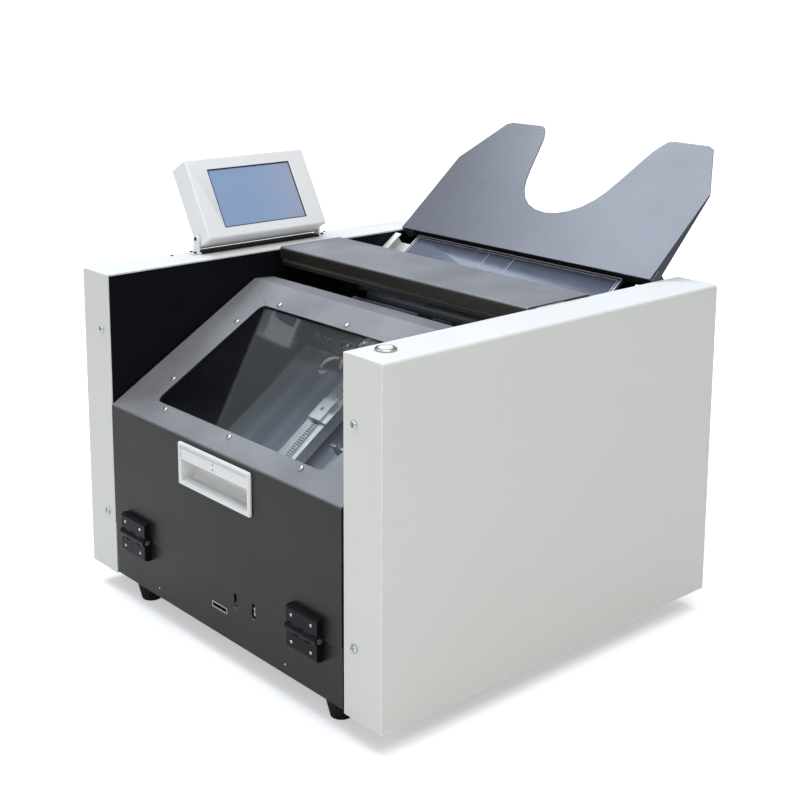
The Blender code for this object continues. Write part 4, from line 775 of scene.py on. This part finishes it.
# Feed tray: a satin-painted aluminium plate with tapered side flanges and a deep notch for the
# hand. Its much paler up-facing colour is a painted sheen. A dark rubber strip under its foot
# closes the gap below it and stands for the shadow line there, a painted shadow.
tray_coat = coated("tray_powder_coat", (0.042, 0.041, 0.049), (0.052, 0.051, 0.061),
                   (0.22, 0.22, 0.23), (0.098, 0.100, 0.126), roughness=0.28, gloss=0.56, peel=0.03)
dress("paper_tray", tray_coat, 0.0003)
# The dark strip under the tray's foot is a painted shadow line.
strip_half, strip_y, strip_z = 0.168, (0.3815, 0.3840), (0.2930, 0.3050)
strip = bar_grid([((-strip_half, strip_half), strip_y, strip_z)])
strip.transform(Matrix.Translation(machine))
foot_shadow_strip = mesh_piece("tray_foot_shadow_strip", strip)
foot_shadow_strip.data.materials.append(rubber)
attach(foot_shadow_strip, "frame")


# Start button: a moulded white cap that moves in a turned and plated ring, which is screwed into
# the top of the right housing.
dress("button_ring", nickel, 0.0001)
dress("start_button", moulded_white, 0.0001)


# Touch screen: a painted sheet case that tilts on a strip bracket, with the glass sunk in it. A
# thin dark frame round the glass is a painted shadow line of the recess. Slotted pivot screws close
# its ends and small screws hold the bracket's tabs.
glass = coated("screen_glass", (0.36, 0.42, 0.57), (0.37, 0.43, 0.58), (0.4, 0.45, 0.6),
               (0.37, 0.43, 0.58), roughness=0.10, gloss=0.6, peel_scale=300.0, peel=0.0)
glass_tree = glass.node_tree
glass_place = node(glass_tree, "TexCoord")
glass_split = node(glass_tree, "SeparateXYZ")
glass_tree.links.new(glass_place.outputs["Object"], glass_split.inputs[0])
glass_side = spread(glass_tree, glass_split.outputs["Y"], 1, 0, -0.055, -0.005)
glass_base = glass_tree.nodes["Principled BSDF"].inputs["Base Color"]
glass_even = glass_base.links[0].from_socket
glass_tree.links.new(blend_colour(glass_tree, glass_side, glass_even, (0.285, 0.405, 0.60)),
                     glass_base)
display_coat = coated("display_paint", (0.87, 0.87, 0.85), (0.90, 0.90, 0.88),
                      (0.92, 0.92, 0.91), (0.90, 0.90, 0.89), roughness=0.36)
dress("display_housing", display_coat, 0.0006)
dress("display_screen", glass, 0.0001)
dress("display_bracket", display_coat, 0.0003)

pivot_x, pivot_y, pivot_z, lean = -0.2068, 0.198, 0.3153, math.radians(-30)
display_frame = Matrix.Translation(machine + Vector((pivot_x, pivot_y, pivot_z)))
display_frame @= Matrix.Rotation(lean, 4, "Y")
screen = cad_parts["display_screen"]
screen_points = [display_frame.inverted() @ screen.matrix_world @ vert.co
                 for vert in screen.data.vertices]
(low_x, high_x), (low_y, high_y), (low_z, high_z) = [
    (min(point[k] for point in screen_points), max(point[k] for point in screen_points))
    for k in range(3)]
# A thin dark frame, wider at the glass's top and right edges, stands for the recess's shadow: a
# painted shadow line.
shadow_line_x = (high_x - 0.0002, high_x + 0.0006)
shadow_line_bars = bar_grid([(shadow_line_x, (low_y, high_y), (low_z, low_z + 0.0005)),
                   (shadow_line_x, (low_y, high_y), (high_z - 0.0010, high_z)),
                   (shadow_line_x, (low_y, low_y + 0.0004), (low_z, high_z)),
                   (shadow_line_x, (high_y - 0.0009, high_y), (low_z, high_z))])
shadow_line_bars.transform(display_frame)
shadow_line_piece = mesh_piece("screen_painted_shadow_line", shadow_line_bars)
shadow_line_piece.data.materials.append(moulded_black)
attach(shadow_line_piece, "display")
# A dark strip on the housing top, under the display, stands for the shade there: a painted shade.
pad_x, pad_y, pad_z = (-0.2136, -0.2000), (0.1225, 0.2735), (0.3001, 0.3023)
shade_strip_bars = bar_grid([(pad_x, pad_y, pad_z)])
shade_strip_bars.transform(Matrix.Translation(machine))
shade_strip_piece = mesh_piece("bracket_painted_shade_strip", shade_strip_bars)
shade_strip_piece.data.materials.append(rubber)
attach(shade_strip_piece, "frame")


def slotted_head(radius, height):
    """The head of a slotted screw."""
    head = lathe([(0, -0.0003), (radius, -0.0003), (radius, height * 0.6), (radius * 0.8, height),
                  (0, height)])
    slot = ((-radius * 1.2, radius * 1.2), (-radius * 0.14, radius * 0.14),
            (height * 0.4, height * 1.3))
    return carve(head, bar_grid([slot]))


ear_reach, tab_reach, tab_top, housing_top = 0.0783, 0.0815, 0.3018, 0.3
set_out("pivot_screws", slotted_head(radius=0.0019, height=0.0008),
        [((pivot_x, pivot_y + side * ear_reach, pivot_z), (0, side, 0)) for side in (-1, 1)],
        moulded_black)
set_out("bracket_screws", pan_head(radius=0.0018, height=0.0012),
        [((x, pivot_y + side * tab_reach, tab_top), (0, 0, 1)) for side in (-1, 1)
         for x in (-0.2104, -0.2032)], moulded_black)
set_out("housing_top_screws", slotted_head(radius=0.0016, height=0.0007),
        [((x, y, housing_top), (0, 0, 1)) for x, y in ((-0.2185, 0.2949), (-0.2140, 0.0960))],
        moulded_black)


# Door: folded anthracite sheet with a clear acrylic window held by ten screws, a moulded recessed
# pull with a raised border, and two moulded block hinges on nickel-plated pins.
acrylic = clear_plastic("clear_acrylic", (0.90, 0.95, 0.96), (0.96, 0.985, 0.99),
                        roughness=(0.02, 0.05), clear=1.0, gloss=0.5)
dress("door_shell", anthracite_coat, 0.0003)
dress("window_pane", acrylic, 0.0003)
door_rise, fold_y, fold_z = math.radians(30.47), -0.001, 0.1733
slope_out = Vector((0, -math.sin(door_rise), math.cos(door_rise)))


def on_slope(x, s):
    """A point on the door's slope, s up it from the fold above the pull."""
    return Vector((x, fold_y + s * math.cos(door_rise), fold_z + s * math.sin(door_rise)))


pane_screws = [(x, s) for x in (-0.103, 0, 0.103) for s in (0.0181, 0.1728)]
pane_screws += [(x, s) for x in (-0.1336, 0.1336) for s in (0.052, 0.1385)]
set_out("pane_screws", pan_head(radius=0.0027, height=0.0019),
        [(on_slope(x, s), slope_out) for x, s in pane_screws], bright_zinc, "door")

hinge_front, hinge_z, hinge_screw_rise = -0.0080, 0.0542, 0.0118
hinge_head = pan_head(radius=0.0015, height=0.0008)
for name, way, body in (("hinge_screws_door", 1, "door"), ("hinge_screws_base", -1, "frame")):
    set_out(name, hinge_head,
            [((side * x, hinge_front, hinge_z + way * hinge_screw_rise), (0, -1, 0))
             for side in (-1, 1) for x in (0.1175, 0.1435)], bright_zinc, body)
for side in ("left", "right"):
    dress(f"hinge_door_{side}", moulded_black, 0.0004)
    dress(f"hinge_base_{side}", moulded_black, 0.0004)
    dress(f"hinge_pin_{side}", nickel, 0.0001)

# This grey is painted shade: it colours the pull's shadow lines and the shade in its two small
# holes.
painted_shade_grey = coated("painted_shade_grey", (0.30, 0.31, 0.33), (0.34, 0.35, 0.37), (0.42, 0.43, 0.45),
                      (0.38, 0.39, 0.41), roughness=0.40, peel_scale=1400.0, peel=0.15)
dress("door_handle", moulded_white, 0.0004)
pull_front = -0.0033
border_y = (pull_front - 0.0006, pull_front + 0.0004)
pull_shadow_y = (pull_front - 0.0002, pull_front + 0.0002)
outer_x, outer_low, outer_top = 0.0540, 0.1300, 0.1680
inner_x, inner_low, inner_top = 0.0523, 0.1317, 0.1663
border = bar_grid([((-outer_x, outer_x), border_y, (outer_low, inner_low)),
                   ((-outer_x, outer_x), border_y, (inner_top, outer_top)),
                   ((-outer_x, -inner_x), border_y, (inner_low, inner_top)),
                   ((inner_x, outer_x), border_y, (inner_low, inner_top))])
# Thin grey bars along the border and under the hood: painted shadow lines.
pull_shadow_bars = bar_grid([((-inner_x, inner_x), pull_shadow_y, (0.1657, inner_top)),
                    ((-0.0505, 0.0515), pull_shadow_y, (0.1638, 0.1642)),
                    ((-0.0505, -0.0501), pull_shadow_y, (0.1535, 0.1638)),
                    ((-0.0505, 0.0505), pull_shadow_y, (0.1525, 0.1531))])
for name, bars, finish in (("pull_border", border, moulded_white),
                           ("pull_painted_shadow_lines", pull_shadow_bars, painted_shade_grey)):
    bars.transform(Matrix.Translation(machine))
    made = mesh_piece(name, bars)
    made.data.materials.append(finish)
    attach(made, "door")
# Two grey dots on the hood: painted shade in two small holes.
hole_shade_master = bpy.data.meshes.new("hole_shade")
lathe([(0, -0.0003), (0.0010, -0.0003), (0.0010, 0.0002), (0, 0.0002)], 16).to_mesh(hole_shade_master)
set_out("pull_painted_hole_shades", hole_shade_master,
        [((0, pull_front - 0.0001, z), (0, -1, 0)) for z in (0.1565, 0.1612)], painted_shade_grey, "door")
